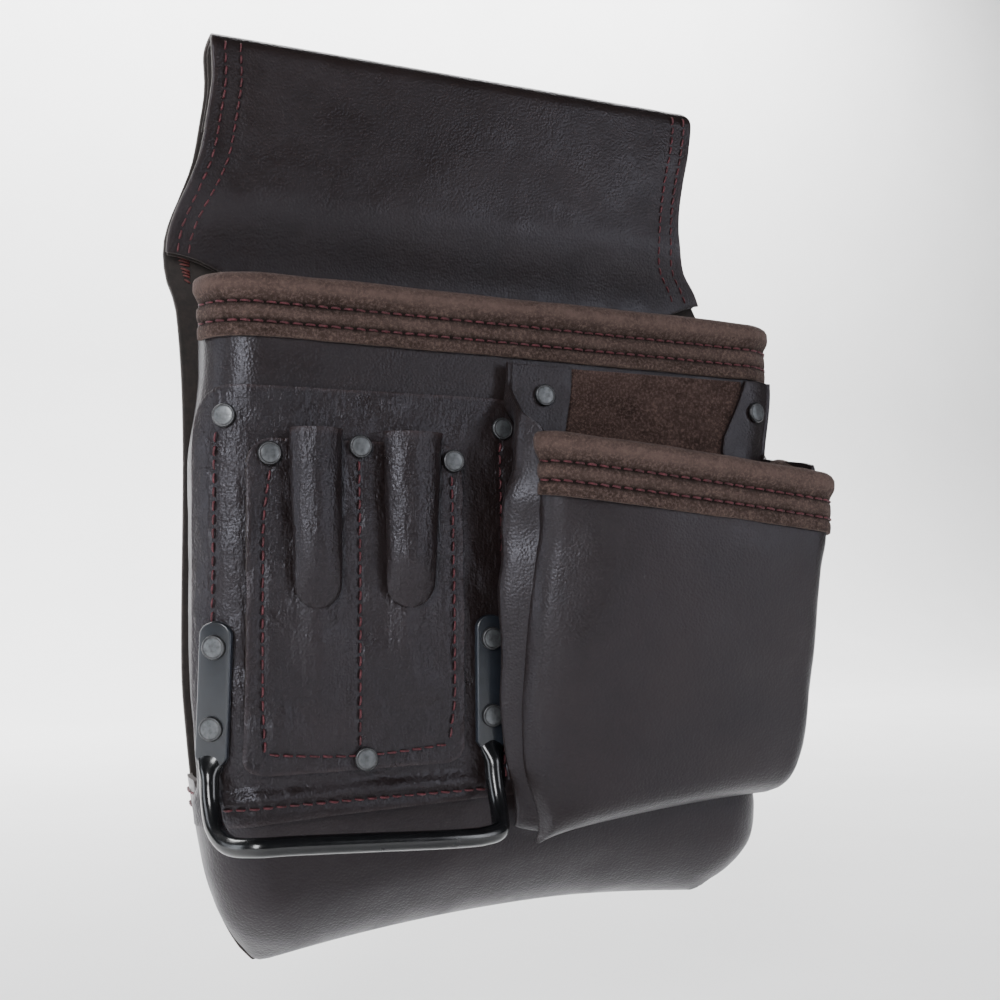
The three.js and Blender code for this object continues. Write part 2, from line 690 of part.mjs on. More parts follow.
function rodPath() {
  const left = plateFrame(LOOP_LEFT);
  const right = plateFrame(LOOP_RIGHT);
  const start = (frame) => frame.low.clone().addScaledVector(frame.outward, ROD_RADIUS + 0.1);
  const a = start(left);
  const b = start(right);
  const front = REAR - 73;
  const low = -263.5;
  const points = [
    new THREE.Vector3(a.x, a.y, PLATE.shoulder + 4),
    new THREE.Vector3(a.x, a.y, -244),
    new THREE.Vector3(a.x, a.y - 2, -251.5),
    new THREE.Vector3(a.x + 0.6, a.y - 7, -259),
    new THREE.Vector3(a.x + 3.5, a.y - 15, low),
    new THREE.Vector3(a.x + 10.5, front + 1, low - 0.3),
    new THREE.Vector3(a.x + 22, front, low - 0.5),
    new THREE.Vector3((a.x + b.x) / 2, front, low - 1.9),
    new THREE.Vector3(b.x - 22, front, low - 3.3),
    new THREE.Vector3(b.x - 10.5, front + 1, low - 3.4),
    new THREE.Vector3(b.x - 3.5, b.y - 12, low - 2.2),
    new THREE.Vector3(b.x - 0.6, b.y - 6, -260),
    new THREE.Vector3(b.x, b.y - 2, -252.5),
    new THREE.Vector3(b.x, b.y, -244),
    new THREE.Vector3(b.x, b.y, PLATE.shoulder + 4),
  ];
  return new THREE.CatmullRomCurve3(points, false, 'centripetal');
}

function hammerLoop() {
  const circle = new THREE.Shape(spread(0, 1, 8).slice(0, -1)
    .map((t) => new THREE.Vector2(ROD_RADIUS * Math.cos(2 * Math.PI * t), ROD_RADIUS * Math.sin(2 * Math.PI * t))));
  const rod = new THREE.ExtrudeGeometry(circle, { extrudePath: rodPath(), steps: 38, bevelEnabled: false });
  const body = [LOOP_LEFT, LOOP_RIGHT].reduce((sum, across) => sum.add(toManifold(plateSolid(across))),
    toManifold(rod));
  return fromManifold(body);
}

// ---------------------------------------------------------------- rivets
// Each rivet: its place, and how far its head stands off the main bag's leather.
const RIVETS = {
  outer_patch_left: { across: -114, height: -113.5, lift: PATCH_LEATHER + GAP },
  outer_patch_right: { across: -6.5, height: -114, lift: PATCH_LEATHER + GAP },
  inner_patch_left: { across: -98.8, height: -127.3, lift: POCKET_LIFT },
  inner_patch_centre: { across: -64.5, height: -123.6, lift: POCKET_LIFT },
  inner_patch_right: { across: -27.2, height: -127.8, lift: POCKET_LIFT },
  inner_patch_bottom: { across: -62.8, height: -238.5, lift: POCKET_LIFT },
  loop_left_upper: { across: LOOP_LEFT, height: -195.6, lift: PLATE_LIFT + PLATE.thickness, onPlate: true },
  loop_left_lower: { across: LOOP_LEFT, height: -224.3, lift: PLATE_LIFT + PLATE.thickness, onPlate: true },
  loop_right_upper: { across: LOOP_RIGHT, height: -195.6, lift: PLATE_LIFT + PLATE.thickness, onPlate: true },
  loop_right_lower: { across: LOOP_RIGHT, height: -224.8, lift: PLATE_LIFT + PLATE.thickness, onPlate: true },
  ear_left: { across: 9, height: -100, lift: EAR_LIFT + POCKET_LEATHER },
  ear_right: { across: 111.5, height: -101.5, lift: EAR_LIFT + POCKET_LEATHER },
};
const BURR_TOP = -BAG_LEATHER - GAP - 0.5;

// Moves a shape whose axis is +Y and whose origin is the main bag's outer face to a rivet's place.
function onAxis(geometry, { across, height, onPlate }) {
  const along = alongFor(across, height);
  const matrix = new THREE.Matrix4();
  if (onPlate) {
    const { low, up, outward, sideways } = plateFrame(across);
    const foot = low.clone().addScaledVector(up, height - PLATE.shoulder).addScaledVector(outward, -PLATE_LIFT);
    matrix.makeBasis(up, outward, sideways).setPosition(foot);
  } else {
    const outward = level(bagNormal(along, height));
    const turn = new THREE.Quaternion().setFromUnitVectors(new THREE.Vector3(0, 1, 0), outward);
    matrix.compose(bagPoint(along, height), turn, new THREE.Vector3(1, 1, 1));
  }
  return geometry.applyMatrix4(matrix);
}

function rivet(place) {
  const seat = place.lift + GAP;
  const peen = BURR_TOP - BURR.thickness - GAP;
  const profile = [
    [0, peen - 0.8],
    [RIVET.shank + 0.9, peen],
    [RIVET.shank, peen],
    [RIVET.shank, seat],
    [RIVET.head, seat],
    [RIVET.head - 0.6, seat + RIVET.dome],
    [0, seat + RIVET.dome - 0.3],
  ];
  return onAxis(new THREE.LatheGeometry(profile.map(([r, y]) => new THREE.Vector2(r, y)), RIVET.sides), place);
}

function burr(place) {
  const low = BURR_TOP - BURR.thickness;
  const profile = [[HOLE, low], [BURR.radius, low], [BURR.radius, BURR_TOP], [HOLE, BURR_TOP], [HOLE, low]];
  return onAxis(new THREE.LatheGeometry(profile.map(([r, y]) => new THREE.Vector2(r, y)), RIVET.sides), place);
}

const drill = (names) => names.map((name) => toManifold(onAxis(
  new THREE.CylinderGeometry(HOLE, HOLE, 40, RIVET.sides), RIVETS[name])));

// ---------------------------------------------------------------- assembly
const ALL = Object.keys(RIVETS);
const INNER = ALL.filter((name) => name.startsWith('inner_patch'));
const OUTER = ALL.filter((name) => !name.startsWith('ear'));
const LOOP = ALL.filter((name) => name.startsWith('loop'));

const PIECES = [
  ['back_panel', 'leather', () => backPanel()],
  ['belt_loop_lining', 'lining', () => loopLining()],
  ['main_bag_front', 'leather', () => cut(mainFront(), drill(ALL))],
  ['main_gusset_left', 'leather', () => mainGusset(-1)],
  ['main_gusset_right', 'leather', () => mainGusset(1)],
  ['main_bag_boot', 'leather', () => mainBoot()],
  ['main_rim_binding', 'suede', () => mainBinding()],
  ['small_bag_back', 'suede', () => cut(smallBack(), drill(['ear_left', 'ear_right']))],
  ['small_bag_front', 'leather', () => smallFront()],
  ['small_gusset_left', 'leather', () => cut(smallGusset(-1), drill(['ear_left']))],
  ['small_gusset_right', 'leather', () => cut(smallGusset(1), drill(['ear_right']))],
  ['small_rim_binding', 'suede', () => smallBinding()],
  ['outer_tool_patch', 'patch', () => cut(outerPatch(), drill(OUTER))],
  ['inner_tool_patch', 'patch', () => cut(innerPatch(), drill(INNER))],
  ['pen_sleeve_left', 'patch', () => penSleeve(SLEEVES.left)],
  ['pen_sleeve_right', 'patch', () => penSleeve(SLEEVES.right)],
  ['hammer_loop', 'loop', () => cut(hammerLoop(), drill(LOOP))],
  ...ALL.map((name) => [`rivet_${name}`, 'rivet', () => rivet(RIVETS[name])]),
  ...ALL.map((name) => [`burr_${name}`, 'rivet', () => burr(RIVETS[name])]),
];

const pouch = new THREE.Group();
for (const [name, finish, make] of PIECES) {
  const [color, roughness, metalness] = COLOURS[finish];
  const mesh = new THREE.Mesh(make(), new THREE.MeshStandardMaterial({ color, roughness, metalness }));
  mesh.name = name;
  pouch.add(mesh);
}

export default pouch;
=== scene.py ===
"""Looks of a leather electrician's tool pouch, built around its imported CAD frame.

Lengths are millimetres until a mesh is made, and the frame is the part's own: +X to the right,
-Y to the front, +Z up, with the origin at the centre of the belt tunnel.
"""

import math

import bmesh
import bpy
import numpy as np
from mathutils import Matrix, Vector, noise


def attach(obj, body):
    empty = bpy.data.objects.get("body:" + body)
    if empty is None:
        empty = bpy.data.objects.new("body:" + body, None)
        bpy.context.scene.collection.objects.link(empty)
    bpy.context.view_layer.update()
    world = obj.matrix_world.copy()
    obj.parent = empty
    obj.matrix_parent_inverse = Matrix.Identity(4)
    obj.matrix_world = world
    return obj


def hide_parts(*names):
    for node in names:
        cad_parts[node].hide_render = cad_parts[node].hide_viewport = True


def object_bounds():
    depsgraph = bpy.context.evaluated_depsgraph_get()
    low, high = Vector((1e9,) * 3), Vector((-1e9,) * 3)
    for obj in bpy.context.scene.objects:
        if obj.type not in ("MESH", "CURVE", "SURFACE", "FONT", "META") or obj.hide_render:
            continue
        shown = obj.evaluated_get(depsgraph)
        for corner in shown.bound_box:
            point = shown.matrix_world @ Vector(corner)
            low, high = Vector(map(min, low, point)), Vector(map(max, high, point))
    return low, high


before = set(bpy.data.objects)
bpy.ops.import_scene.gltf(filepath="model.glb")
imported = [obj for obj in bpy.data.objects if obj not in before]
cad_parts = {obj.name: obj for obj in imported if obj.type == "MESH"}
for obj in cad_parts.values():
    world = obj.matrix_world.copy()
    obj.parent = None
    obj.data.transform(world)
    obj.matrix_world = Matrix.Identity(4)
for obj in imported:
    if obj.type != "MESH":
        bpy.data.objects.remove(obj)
cad_lo, cad_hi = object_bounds()

# ---------------------------------------------------------------- driving dimensions
MM = 0.001
GAP = 0.35
BACK_LEATHER = 2.8
LINING = 1.4
BAG_LEATHER = 2.2
BOOT_LEATHER = 2.0
PATCH_LEATHER = 2.0
POCKET_LEATHER = 1.8
SLEEVE_LEATHER = 1.5
SUEDE = 1.4
BINDING_SUEDE = 1.7

LOOP_DEPTH = 17.2
LOOP_TOP = 47.0
LOOP_BOTTOM = -50.0
LOOP_CLOSING = 34.0               # the leather bends in more gently than the CAD, over a greater height
FLAP_END = -62.0
REAR = LOOP_DEPTH / 2

BAG_CENTRE = 1.5
BAG_CORNER = 18.0
BAG_CROWN = 1.5
SIDE_PINCH = 4.0
PINCH_DEPTH = 25.0
SEAM_ANGLE = 1.4
BACK_FACE = BACK_LEATHER + GAP
WALL_FOOT = BACK_FACE + 1.6

RIM_HEIGHT = -60.5
RIM_SLOPE = -0.012
BINDING_DEPTH = 24.5
BINDING_ROWS = (11.6, 18.8)       # the two stitch rows below a binding's top
BOOT_TOP = -244.0
BOOT_FRONT_TOP = -251.0
BOOT_LAP = 8.0
BOTTOM_TILT = 0.05
BOTTOM_RISE = 8.0
BOTTOM_ARCH = 0.000665
TOE_SPREAD = 11.0                 # the boot's right corner is fuller: wider, and deeper at the front
TOE_PUSH = 8.0
RIM_LEAN = 4.5                    # the mouth sits this far to the right of the bag below

SMALL_RIM_HEIGHT = -118.0
SMALL_RIM_SLOPE = -0.11
SMALL_CORNER = 8.0
SMALL_CROWN = 4.0
SMALL_TILT = 0.06
SMALL_MIDDLE = 57.0
SMALL_HALF = 65.0
SMALL_SEAM_ANGLE = 1.25
SMALL_RIM_RETURN = 30.0           # the small rim's binding goes on back along the right side wall
EAR_LIFT = PATCH_LEATHER + 2 * GAP
EAR_BOTTOM = -113.0
EAR_TOP = RIM_HEIGHT - BINDING_DEPTH - 2.8

OUTER_PATCH = {"width": 127, "right": 1, "top": -102, "bottom": -257.5, "round": 12, "round_bottom": 0}
INNER_PATCH = {"width": 83, "right": -23.5, "top": -121.5, "bottom": -242, "round": 9, "round_bottom": 0.6}
POCKET_LIFT = PATCH_LEATHER + 2 * GAP + POCKET_LEATHER
SLEEVES = {
    "left": {"top": -82.6, "bottom": -81.5, "width_top": 20, "width_bottom": 17.5},
    "right": {"top": -44.8, "bottom": -46.2, "width_top": 23.5, "width_bottom": 18.5},
}
SLEEVE_TOP = -118.0
SLEEVE_END = -183.5
SLEEVE_SWELL = 8.0

PLATE_WIDTH = 12.0
PLATE_TOP = -186.5
PLATE_SHOULDER = -236.0
PLATE_THICKNESS = 3.0
PLATE_LIFT = PATCH_LEATHER + 2 * GAP + 0.9
ROD_RADIUS = 3.4
LOOP_LEFT = -114.0
LOOP_RIGHT = -13.0

RIVET_HEAD = 4.4
RIVET_DOME = 1.7
RIVET_SHANK = 1.6
BURR_RADIUS = 3.6
BURR_THICKNESS = 1.1
BURR_TOP = -BAG_LEATHER - GAP - 0.5

STITCH_PITCH = 4.9
THREAD = 0.4                     # thread radius

# Rows of the main bag: height, half width, depth in front of the rear face.
BAG_ROWS = [
    (-40, 125, 50), (-90, 125, 50), (-115, 124.5, 50), (-165, 124, 50.5), (-205, 123.5, 50),
    (-228, 121.5, 49.5), (-244, 119, 49), (-258, 116.5, 47), (-274, 113, 43.5), (-288, 108.5, 38),
    (-298, 103.5, 31.5), (-305, 99.5, 25), (-309.5, 96, 18), (-312, 93.5, 11), (-313, 92, WALL_FOOT + 2),
]
# Rows of the back panel: height, left edge, right edge.
PANEL_EDGES = [
    (48, -110.5, 109), (42, -111.5, 112.5), (27, -111, 111), (12, -113, 107.5), (-5, -116, 104.5),
    (-18, -120.5, 104.5), (-30, -125, 108), (-40, -127, 117), (-52, -126, 123), (-64, -122, 125),
    (-110, -119, 121.5), (-205, -119, 120), (-232, -117, 118), (-256, -114, 117), (-278, -110, 117),
    (-295, -104, 115), (-309, -97, 111), (-316, -91.5, 104),
]
# Rows of the small bag: height, left seam, right seam, depth in front of the rear face, side bulge.
SMALL_ROWS = [
    (-100, -1.5, 125, 88, 7), (-157, -1.5, 125, 88, 11), (-170, -3.5, 122.5, 87, 11.5),
    (-197, -9, 121.5, 84, 10.5), (-220, -11, 120.5, 80, 10), (-244, -9.5, 119, 77, 7.5),
    (-256, -7, 117, 74.5, 5), (-262, -5.5, 115.5, 71, 2), (-266, -4.5, 114.5, 66, 1),
    (-268, -4, 114, 60, 0), (-269, -3.5, 113.5, 56, 0),
]
BAG_BOTTOM = BAG_ROWS[-1][0]
SMALL_BOTTOM = SMALL_ROWS[-1][0]
PANEL_BOTTOM = PANEL_EDGES[-1][0]


# ---------------------------------------------------------------- small helpers
def mix(a, b, t):
    return a + (b - a) * t


def smooth(t):
    s = np.clip(t, 0, 1)
    return s * s * (3 - 2 * s)


def unit(v):
    return v / np.maximum(np.linalg.norm(v, axis=-1, keepdims=True), 1e-9)


def at(across, forward, height):
    """Points from their place across, distance in front of the rear face, and height."""
    across, forward, height = np.broadcast_arrays(across, forward, height)
    return np.stack([across, REAR - forward, height], axis=-1).astype(float)


def station(table, height):
    """Smooth values between the rows of a table whose first column falls steadily."""
    rows = np.array(table, float)
    height = np.asarray(height, float)
    row = np.clip(np.searchsorted(-rows[:, 0], -height) - 1, 0, len(rows) - 2)
    before = rows[np.maximum(row - 1, 0)]
    after = rows[np.minimum(row + 2, len(rows) - 1)]
    start, end = rows[row], rows[row + 1]
    span = (end - start)[..., :1]
    t = np.clip((height[..., None] - start[..., :1]) / span, 0, 1)
    slope_in = (end - before) / (end - before)[..., :1] * span
    slope_out = (after - start) / (after - start)[..., :1] * span
    value = mix(start, end, smooth(t)) + t * (1 - t) * ((1 - t) * slope_in - t * slope_out)
    return [value[..., column] for column in range(1, rows.shape[1])]


def lines(low, high, step, fine=(), close=0.55, reach=2.2):
    """Values from low to high about a step apart, with closer ones round the fine places."""
    values = list(np.linspace(low, high, max(2, int(round((high - low) / step)) + 1)))
    if not fine:
        return np.array(values)
    for place in fine:
        values += [v for v in np.arange(place - reach, place + reach + 0.01, close) if low < v < high]
    values = sorted(values)
    kept = [values[0]]
    for value in values[1:]:
        if value - kept[-1] > close * 0.6:
            kept.append(value)
    kept[-1] = values[-1]
    return np.array(kept)


def fractal(points, scale, seed, octaves=3):
    """Smooth noise at points, from -1 to 1, with features of about the scale in mm."""
    shape = points.shape[:-1]
    flat = points.reshape(-1, 3) / scale
    offset = Vector((seed * 17.3, seed * 5.1, seed * 9.7))
    values = [noise.fractal(Vector(p) + offset, 1.0, 2.1, octaves) for p in flat]
    return np.array(values).reshape(shape)


# ---------------------------------------------------------------- surfaces
def corner_of(depth, corner):
    return np.minimum(corner, depth - WALL_FOOT)


def section(half_width, depth, corner, along):
    """One level section: flat front, round corners, straight sides."""
    radius = corner_of(depth, corner)
    flat = half_width - radius
    side = np.sign(along)
    run = np.abs(along)
    quarter = radius * math.pi / 2
    angle = np.clip((run - flat) / radius, 0, math.pi / 2)
    past = np.maximum(run - flat - quarter, 0)
    x = np.where(run <= flat, run, flat + radius * np.sin(angle))
    return side * x, depth - radius * (1 - np.cos(angle)) - past


def bottom_drop(across, height):
    share = smooth((-230 - height) / 70)
    return share * (BOTTOM_RISE - BOTTOM_ARCH * across * across + BOTTOM_TILT * across)


def toe_share(across, height):
    return smooth((across - 30) / 70) * smooth((-250 - height) / 50)


def bag_point(along, height):
    along, height = np.broadcast_arrays(np.asarray(along, float), np.asarray(height, float))
    half_width, depth = station(BAG_ROWS, height)
    x, forward = section(half_width, depth, BAG_CORNER, along)
    crown = BAG_CROWN * (1 - (x / half_width) ** 2) * np.minimum(1, depth / 40)
    pinch = SIDE_PINCH * np.clip(1 - forward / PINCH_DEPTH, 0, 1) ** 2 * np.minimum(1, depth / 30)
    toe = toe_share(x, height)
    lean = RIM_LEAN * smooth((height + 126) / 36)
    across = x - np.sign(x) * pinch + TOE_SPREAD * toe + lean
    push = TOE_PUSH * toe * (forward - WALL_FOOT) / (depth - WALL_FOOT)
    return at(BAG_CENTRE + across, forward + crown + push, height + bottom_drop(across, height))


def bag_normal(along, height):
    step = 0.5
    height = np.asarray(height, float)
    across_step = bag_point(along + step, height) - bag_point(along - step, height)
    up_step = bag_point(along, height + step) - bag_point(along, np.maximum(height - step, BAG_BOTTOM))
    return unit(np.cross(across_step, up_step))


def on_bag(along, height, lift):
    return bag_point(along, height) + bag_normal(along, height) * np.asarray(lift, float)[..., None]


def wall_length(half_width, depth, corner, angle):
    radius = corner_of(depth, corner)
    return half_width - radius + radius * angle


def seam_at(height):
    half_width, depth = station(BAG_ROWS, height)
    return wall_length(half_width, depth, BAG_CORNER, SEAM_ANGLE)


def wall_end(height):
    half_width, depth = station(BAG_ROWS, height)
    radius = corner_of(depth, BAG_CORNER)
    return wall_length(half_width, depth, BAG_CORNER, math.pi / 2) + np.maximum(depth - radius - WALL_FOOT, 0)


def along_for(across, height):
    half_width, depth = station(BAG_ROWS, height)
    radius = corner_of(depth, BAG_CORNER)
    x = np.abs(across - BAG_CENTRE)
    flat = half_width - radius
    angle = np.arcsin(np.clip((x - flat) / radius, 0, 1))
    return np.sign(across - BAG_CENTRE) * (np.minimum(x, flat) + radius * angle)


def small_corner(depth):
    return np.minimum(SMALL_CORNER, np.maximum(depth - 55, 0.9))


def small_point(along, height):
    along, height = np.broadcast_arrays(np.asarray(along, float), np.asarray(height, float))
    left, right, depth, _ = station(SMALL_ROWS, height)
    half = (right - left) / 2
    x, forward = section(half, depth, small_corner(depth), along)
    across = (left + right) / 2 + x
    body = np.clip((depth - 56) / 15, 0, 1)
    swell = body * (SMALL_CROWN * (1 - (x / half) ** 2) + SMALL_TILT * (across - SMALL_MIDDLE))
    share = smooth((-225 - height) / 35)
    local = (across - SMALL_MIDDLE) / SMALL_HALF
    lift = share * (0.1 * (across - SMALL_MIDDLE) + 3 * (1 - local * local))
    return at(across, forward + swell, height + lift)


def small_normal(along, height):
    step = 0.4
    height = np.asarray(height, float)
    across_step = small_point(along + step, height) - small_point(along - step, height)
    up_step = small_point(along, height + step) - small_point(along, np.maximum(height - step, SMALL_BOTTOM))
    return unit(np.cross(across_step, up_step))


def on_small(along, height, lift):
    return small_point(along, height) + small_normal(along, height) * np.asarray(lift, float)[..., None]


def small_seam(height):
    left, right, depth, _ = station(SMALL_ROWS, height)
    return wall_length((right - left) / 2, depth, small_corner(depth), SMALL_SEAM_ANGLE)


def eased(points):
    """The small bag's left side rolls gently into the crease where its side wall is sewn on."""
    forward, height = REAR - points[..., 1], points[..., 2]
    left = station(SMALL_ROWS, height)[0]
    near = np.clip(1 - (points[..., 0] - left) / 30, 0, 1) ** 2
    moved = np.array(points)
    moved[..., 1] += 5.5 * near * smooth((forward - 56) / 20) * smooth((-141 - height) / 22)
    moved[..., 0] += near * (5.0 * smooth((-165 - height) / 50) + 5.0 * smooth((-240 - height) / 30))
    return moved


def small_rim_height(across):
    return SMALL_RIM_HEIGHT + SMALL_RIM_SLOPE * across


def level(v):
    flat = np.array(v)
    flat[..., 2] = 0
    return unit(flat)


# ---------------------------------------------------------------- material nodes
class Nodes:
    """A short way to write a material's node tree."""

    def __init__(self, name):
        self.material = bpy.data.materials.new(name)
        self.material.use_nodes = True
        self.tree = self.material.node_tree
        self.shader = self.tree.nodes["Principled BSDF"]
        self.place = self.add("ShaderNodeTexCoord").outputs["Object"]

    def add(self, kind, **values):
        node = self.tree.nodes.new(kind)
        for key, value in values.items():
            setattr(node, key, value)
        return node

    def link(self, source, target):
        self.tree.links.new(source, target)

    def noise(self, scale, detail=3.0, rough=0.55, stretch=None):
        node = self.add("ShaderNodeTexNoise")
        node.inputs["Scale"].default_value = scale
        node.inputs["Detail"].default_value = detail
        node.inputs["Roughness"].default_value = rough
        source = self.place
        if stretch:
            mapping = self.add("ShaderNodeMapping")
            mapping.inputs["Scale"].default_value = stretch
            self.link(self.place, mapping.inputs["Vector"])
            source = mapping.outputs["Vector"]
        self.link(source, node.inputs["Vector"])
        return node.outputs["Fac"]

    def cells(self, scale, feature="F1"):
        node = self.add("ShaderNodeTexVoronoi", feature=feature)
        node.inputs["Scale"].default_value = scale
        self.link(self.place, node.inputs["Vector"])
        return node.outputs["Distance"]

    def ramp(self, source, stops):
        node = self.add("ShaderNodeValToRGB")
        points = node.color_ramp.elements
        while len(points) < len(stops):
            points.new(0.5)
        for point, (position, colour) in zip(points, stops):
            point.position = position
            point.color = (*colour, 1.0) if len(colour) == 3 else colour
        self.link(source, node.inputs["Fac"])
        return node.outputs["Color"]

    def range(self, source, low, high, out_low, out_high):
        node = self.add("ShaderNodeMapRange")
        for key, value in (("From Min", low), ("From Max", high), ("To Min", out_low), ("To Max", out_high)):
            node.inputs[key].default_value = value
        self.link(source, node.inputs["Value"])
        return node.outputs["Result"]

    def blend(self, share, a, b, how="MIX"):
        node = self.add("ShaderNodeMix", data_type="RGBA", blend_type=how)
        for socket, value in ((node.inputs["Factor"], share), (node.inputs["A"], a), (node.inputs["B"], b)):
            if isinstance(value, bpy.types.NodeSocket):
                self.link(value, socket)
            else:
                socket.default_value = value if isinstance(value, (int, float)) else (*value, 1.0)
        return node.outputs["Result"]

    def maths(self, how, a, b):
        node = self.add("ShaderNodeMath", operation=how)
        for socket, value in zip(node.inputs, (a, b)):
            if isinstance(value, bpy.types.NodeSocket):
                self.link(value, socket)
            else:
                socket.default_value = value
        return node.outputs["Value"]

    def attribute(self, name):
        return self.add("ShaderNodeAttribute", attribute_name=name).outputs["Fac"]

    def bump(self, height, distance, strength=1.0, under=None):
        node = self.add("ShaderNodeBump")
        node.inputs["Distance"].default_value = distance * MM
        node.inputs["Strength"].default_value = strength
        self.link(height, node.inputs["Height"])
        if under:
            self.link(under, node.inputs["Normal"])
        return node.outputs["Normal"]

    def set(self, **values):
        for key, value in values.items():
            socket = self.shader.inputs[key.replace("_", " ")]
            if isinstance(value, bpy.types.NodeSocket):
                self.link(value, socket)
            elif isinstance(value, tuple):
                socket.default_value = (*value, 1.0)
            else:
                socket.default_value = value
        return self.material


def grain_leather(name, dark, light, rough, crease, wrinkle):
    """Waxed full-grain leather: pores, fine creases, cloudy wax, paler worn edges, and painted shade round the stitch
    holes from the 'shade' attribute.
    """
    n = Nodes(name)
    cloud = n.noise(28, 4, 0.6)
    fleck = n.noise(900, 3, 0.6)
    body = n.ramp(cloud, [(0.3, dark), (0.72, light)])
    body = n.blend(n.range(fleck, 0.35, 0.75, 0.0, 0.22), body, tuple(1.7 * c for c in light))
    worn = n.maths("MULTIPLY", n.attribute("wear"), n.range(n.noise(160, 3), 0.35, 0.65, 0.35, 1.0))
    body = n.blend(worn, body, tuple(2.1 * c for c in light))
    # painted shade: the 'shade' attribute darkens the leather round the stitch holes, where shade falls
    painted_shade = n.attribute("shade")
    body = n.blend(painted_shade, body, tuple(0.3 * c for c in dark))
    pores = n.range(n.cells(900), 0.0, 0.7, 0.0, 1.0)
    creases = n.noise(420, 4, 0.6)
    folds = n.noise(330, 4, 0.6, stretch=(1.0, 1.0, 0.3))
    relief = n.bump(pores, 0.12, 0.8)
    relief = n.bump(creases, crease, 0.7, relief)
    relief = n.bump(folds, wrinkle, 0.8, relief)
    gloss = n.range(n.noise(70, 4), 0.3, 0.7, rough - 0.06, rough + 0.1)
    return n.set(Base_Color=body, Roughness=gloss, Normal=relief, Specular_IOR_Level=0.4,
                 Specular_Tint=(0.86, 0.88, 1.0),
                 Sheen_Weight=0.02, Sheen_Roughness=0.4, Sheen_Tint=(0.75, 0.8, 1.0))


def raw_edge(name, dark, light):
    """A cut or flesh face of leather: fibrous and matt."""
    n = Nodes(name)
    fibre = n.noise(420, 5, 0.65)
    body = n.ramp(fibre, [(0.3, dark), (0.7, light)])
    return n.set(Base_Color=body, Roughness=0.82, Normal=n.bump(n.noise(1500, 3), 0.08, 0.7))


def suede(name, dark, light):
    """Napped suede: brushed light and dark patches, short fibre, paler on the rubbed folds (on the binding's roll also
    a painted highlight), and painted shade in the stitch rows and inside the fold.
    """
    n = Nodes(name)
    brushed = n.noise(75, 5, 0.7, stretch=(0.8, 0.8, 1.4))
    fibre = n.noise(850, 4, 0.75)
    body = n.ramp(brushed, [(0.34, dark), (0.66, light)])
    body = n.blend(n.range(fibre, 0.48, 0.66, 0.0, 0.8), body, tuple(2.0 * c for c in light))
    body = n.blend(n.range(fibre, 0.5, 0.3, 0.0, 0.6), body, tuple(0.7 * c for c in dark))
    # the 'wear' attribute: rubbed nap, and on the binding's roll and puff a painted highlight
    worn = n.maths("MULTIPLY", n.attribute("wear"), n.range(n.noise(240, 4), 0.3, 0.7, 0.4, 1.0))
    body = n.blend(worn, body, tuple(1.75 * c for c in light))
    # painted shade: the 'shade' attribute darkens the stitch rows and the inside of the fold
    body = n.blend(n.attribute("shade"), body, tuple(0.45 * c for c in dark))
    relief = n.bump(fibre, 0.4, 0.9)
    relief = n.bump(n.noise(500, 4, 0.7), 0.6, 0.7, relief)
    return n.set(Base_Color=body, Roughness=0.95, Normal=relief, Specular_IOR_Level=0.15,
                 Sheen_Weight=0.08, Sheen_Roughness=0.5, Sheen_Tint=(0.9, 0.74, 0.7))


def thread_material(name, dark, light):
    n = Nodes(name)
    body = n.ramp(n.noise(700, 3, 0.6), [(0.32, dark), (0.68, light)])
    relief = n.bump(n.noise(2600, 2), 0.1, 0.7)
    return n.set(Base_Color=body, Roughness=0.6, Normal=relief, Sheen_Weight=0.03, Sheen_Tint=(1.0, 0.6, 0.65))


def pewter(name):
    """Dark plated rivet caps, with a painted highlight on the flat face and a fainter one on the raised ring; the
    groove and rim stay dark.
    """
    n = Nodes(name)
    stain = n.noise(500, 4, 0.6)
    body = n.ramp(stain, [(0.3, (0.028, 0.027, 0.028)), (0.7, (0.075, 0.073, 0.075))])
    face = n.maths("MULTIPLY", n.attribute("wear"), n.range(n.noise(620, 4), 0.3, 0.6, 0.35, 1.0))
    body = n.blend(face, body, (0.15, 0.158, 0.165))
    relief = n.bump(n.noise(1800, 3), 0.03, 0.5)
    gloss = n.range(n.noise(380, 3), 0.3, 0.7, 0.34, 0.52)
    return n.set(Base_Color=body, Metallic=0.85, Roughness=gloss, Normal=relief)


def lacquer(name, dark, light, rough, metallic):
    """Blue-black lacquer over steel, thinner and paler at the edges."""
    n = Nodes(name)
    body = n.ramp(n.noise(180, 4), [(0.3, dark), (0.7, light)])
    body = n.blend(n.attribute("wear"), body, tuple(3.2 * c for c in light))
    relief = n.bump(n.noise(420, 3), 0.04, 0.5)
    gloss = n.range(n.noise(150, 3), 0.3, 0.7, rough - 0.04, rough + 0.08)
    return n.set(Base_Color=body, Metallic=metallic, Roughness=gloss, Normal=relief, Coat_Weight=0.5,
                 Coat_Roughness=0.18)


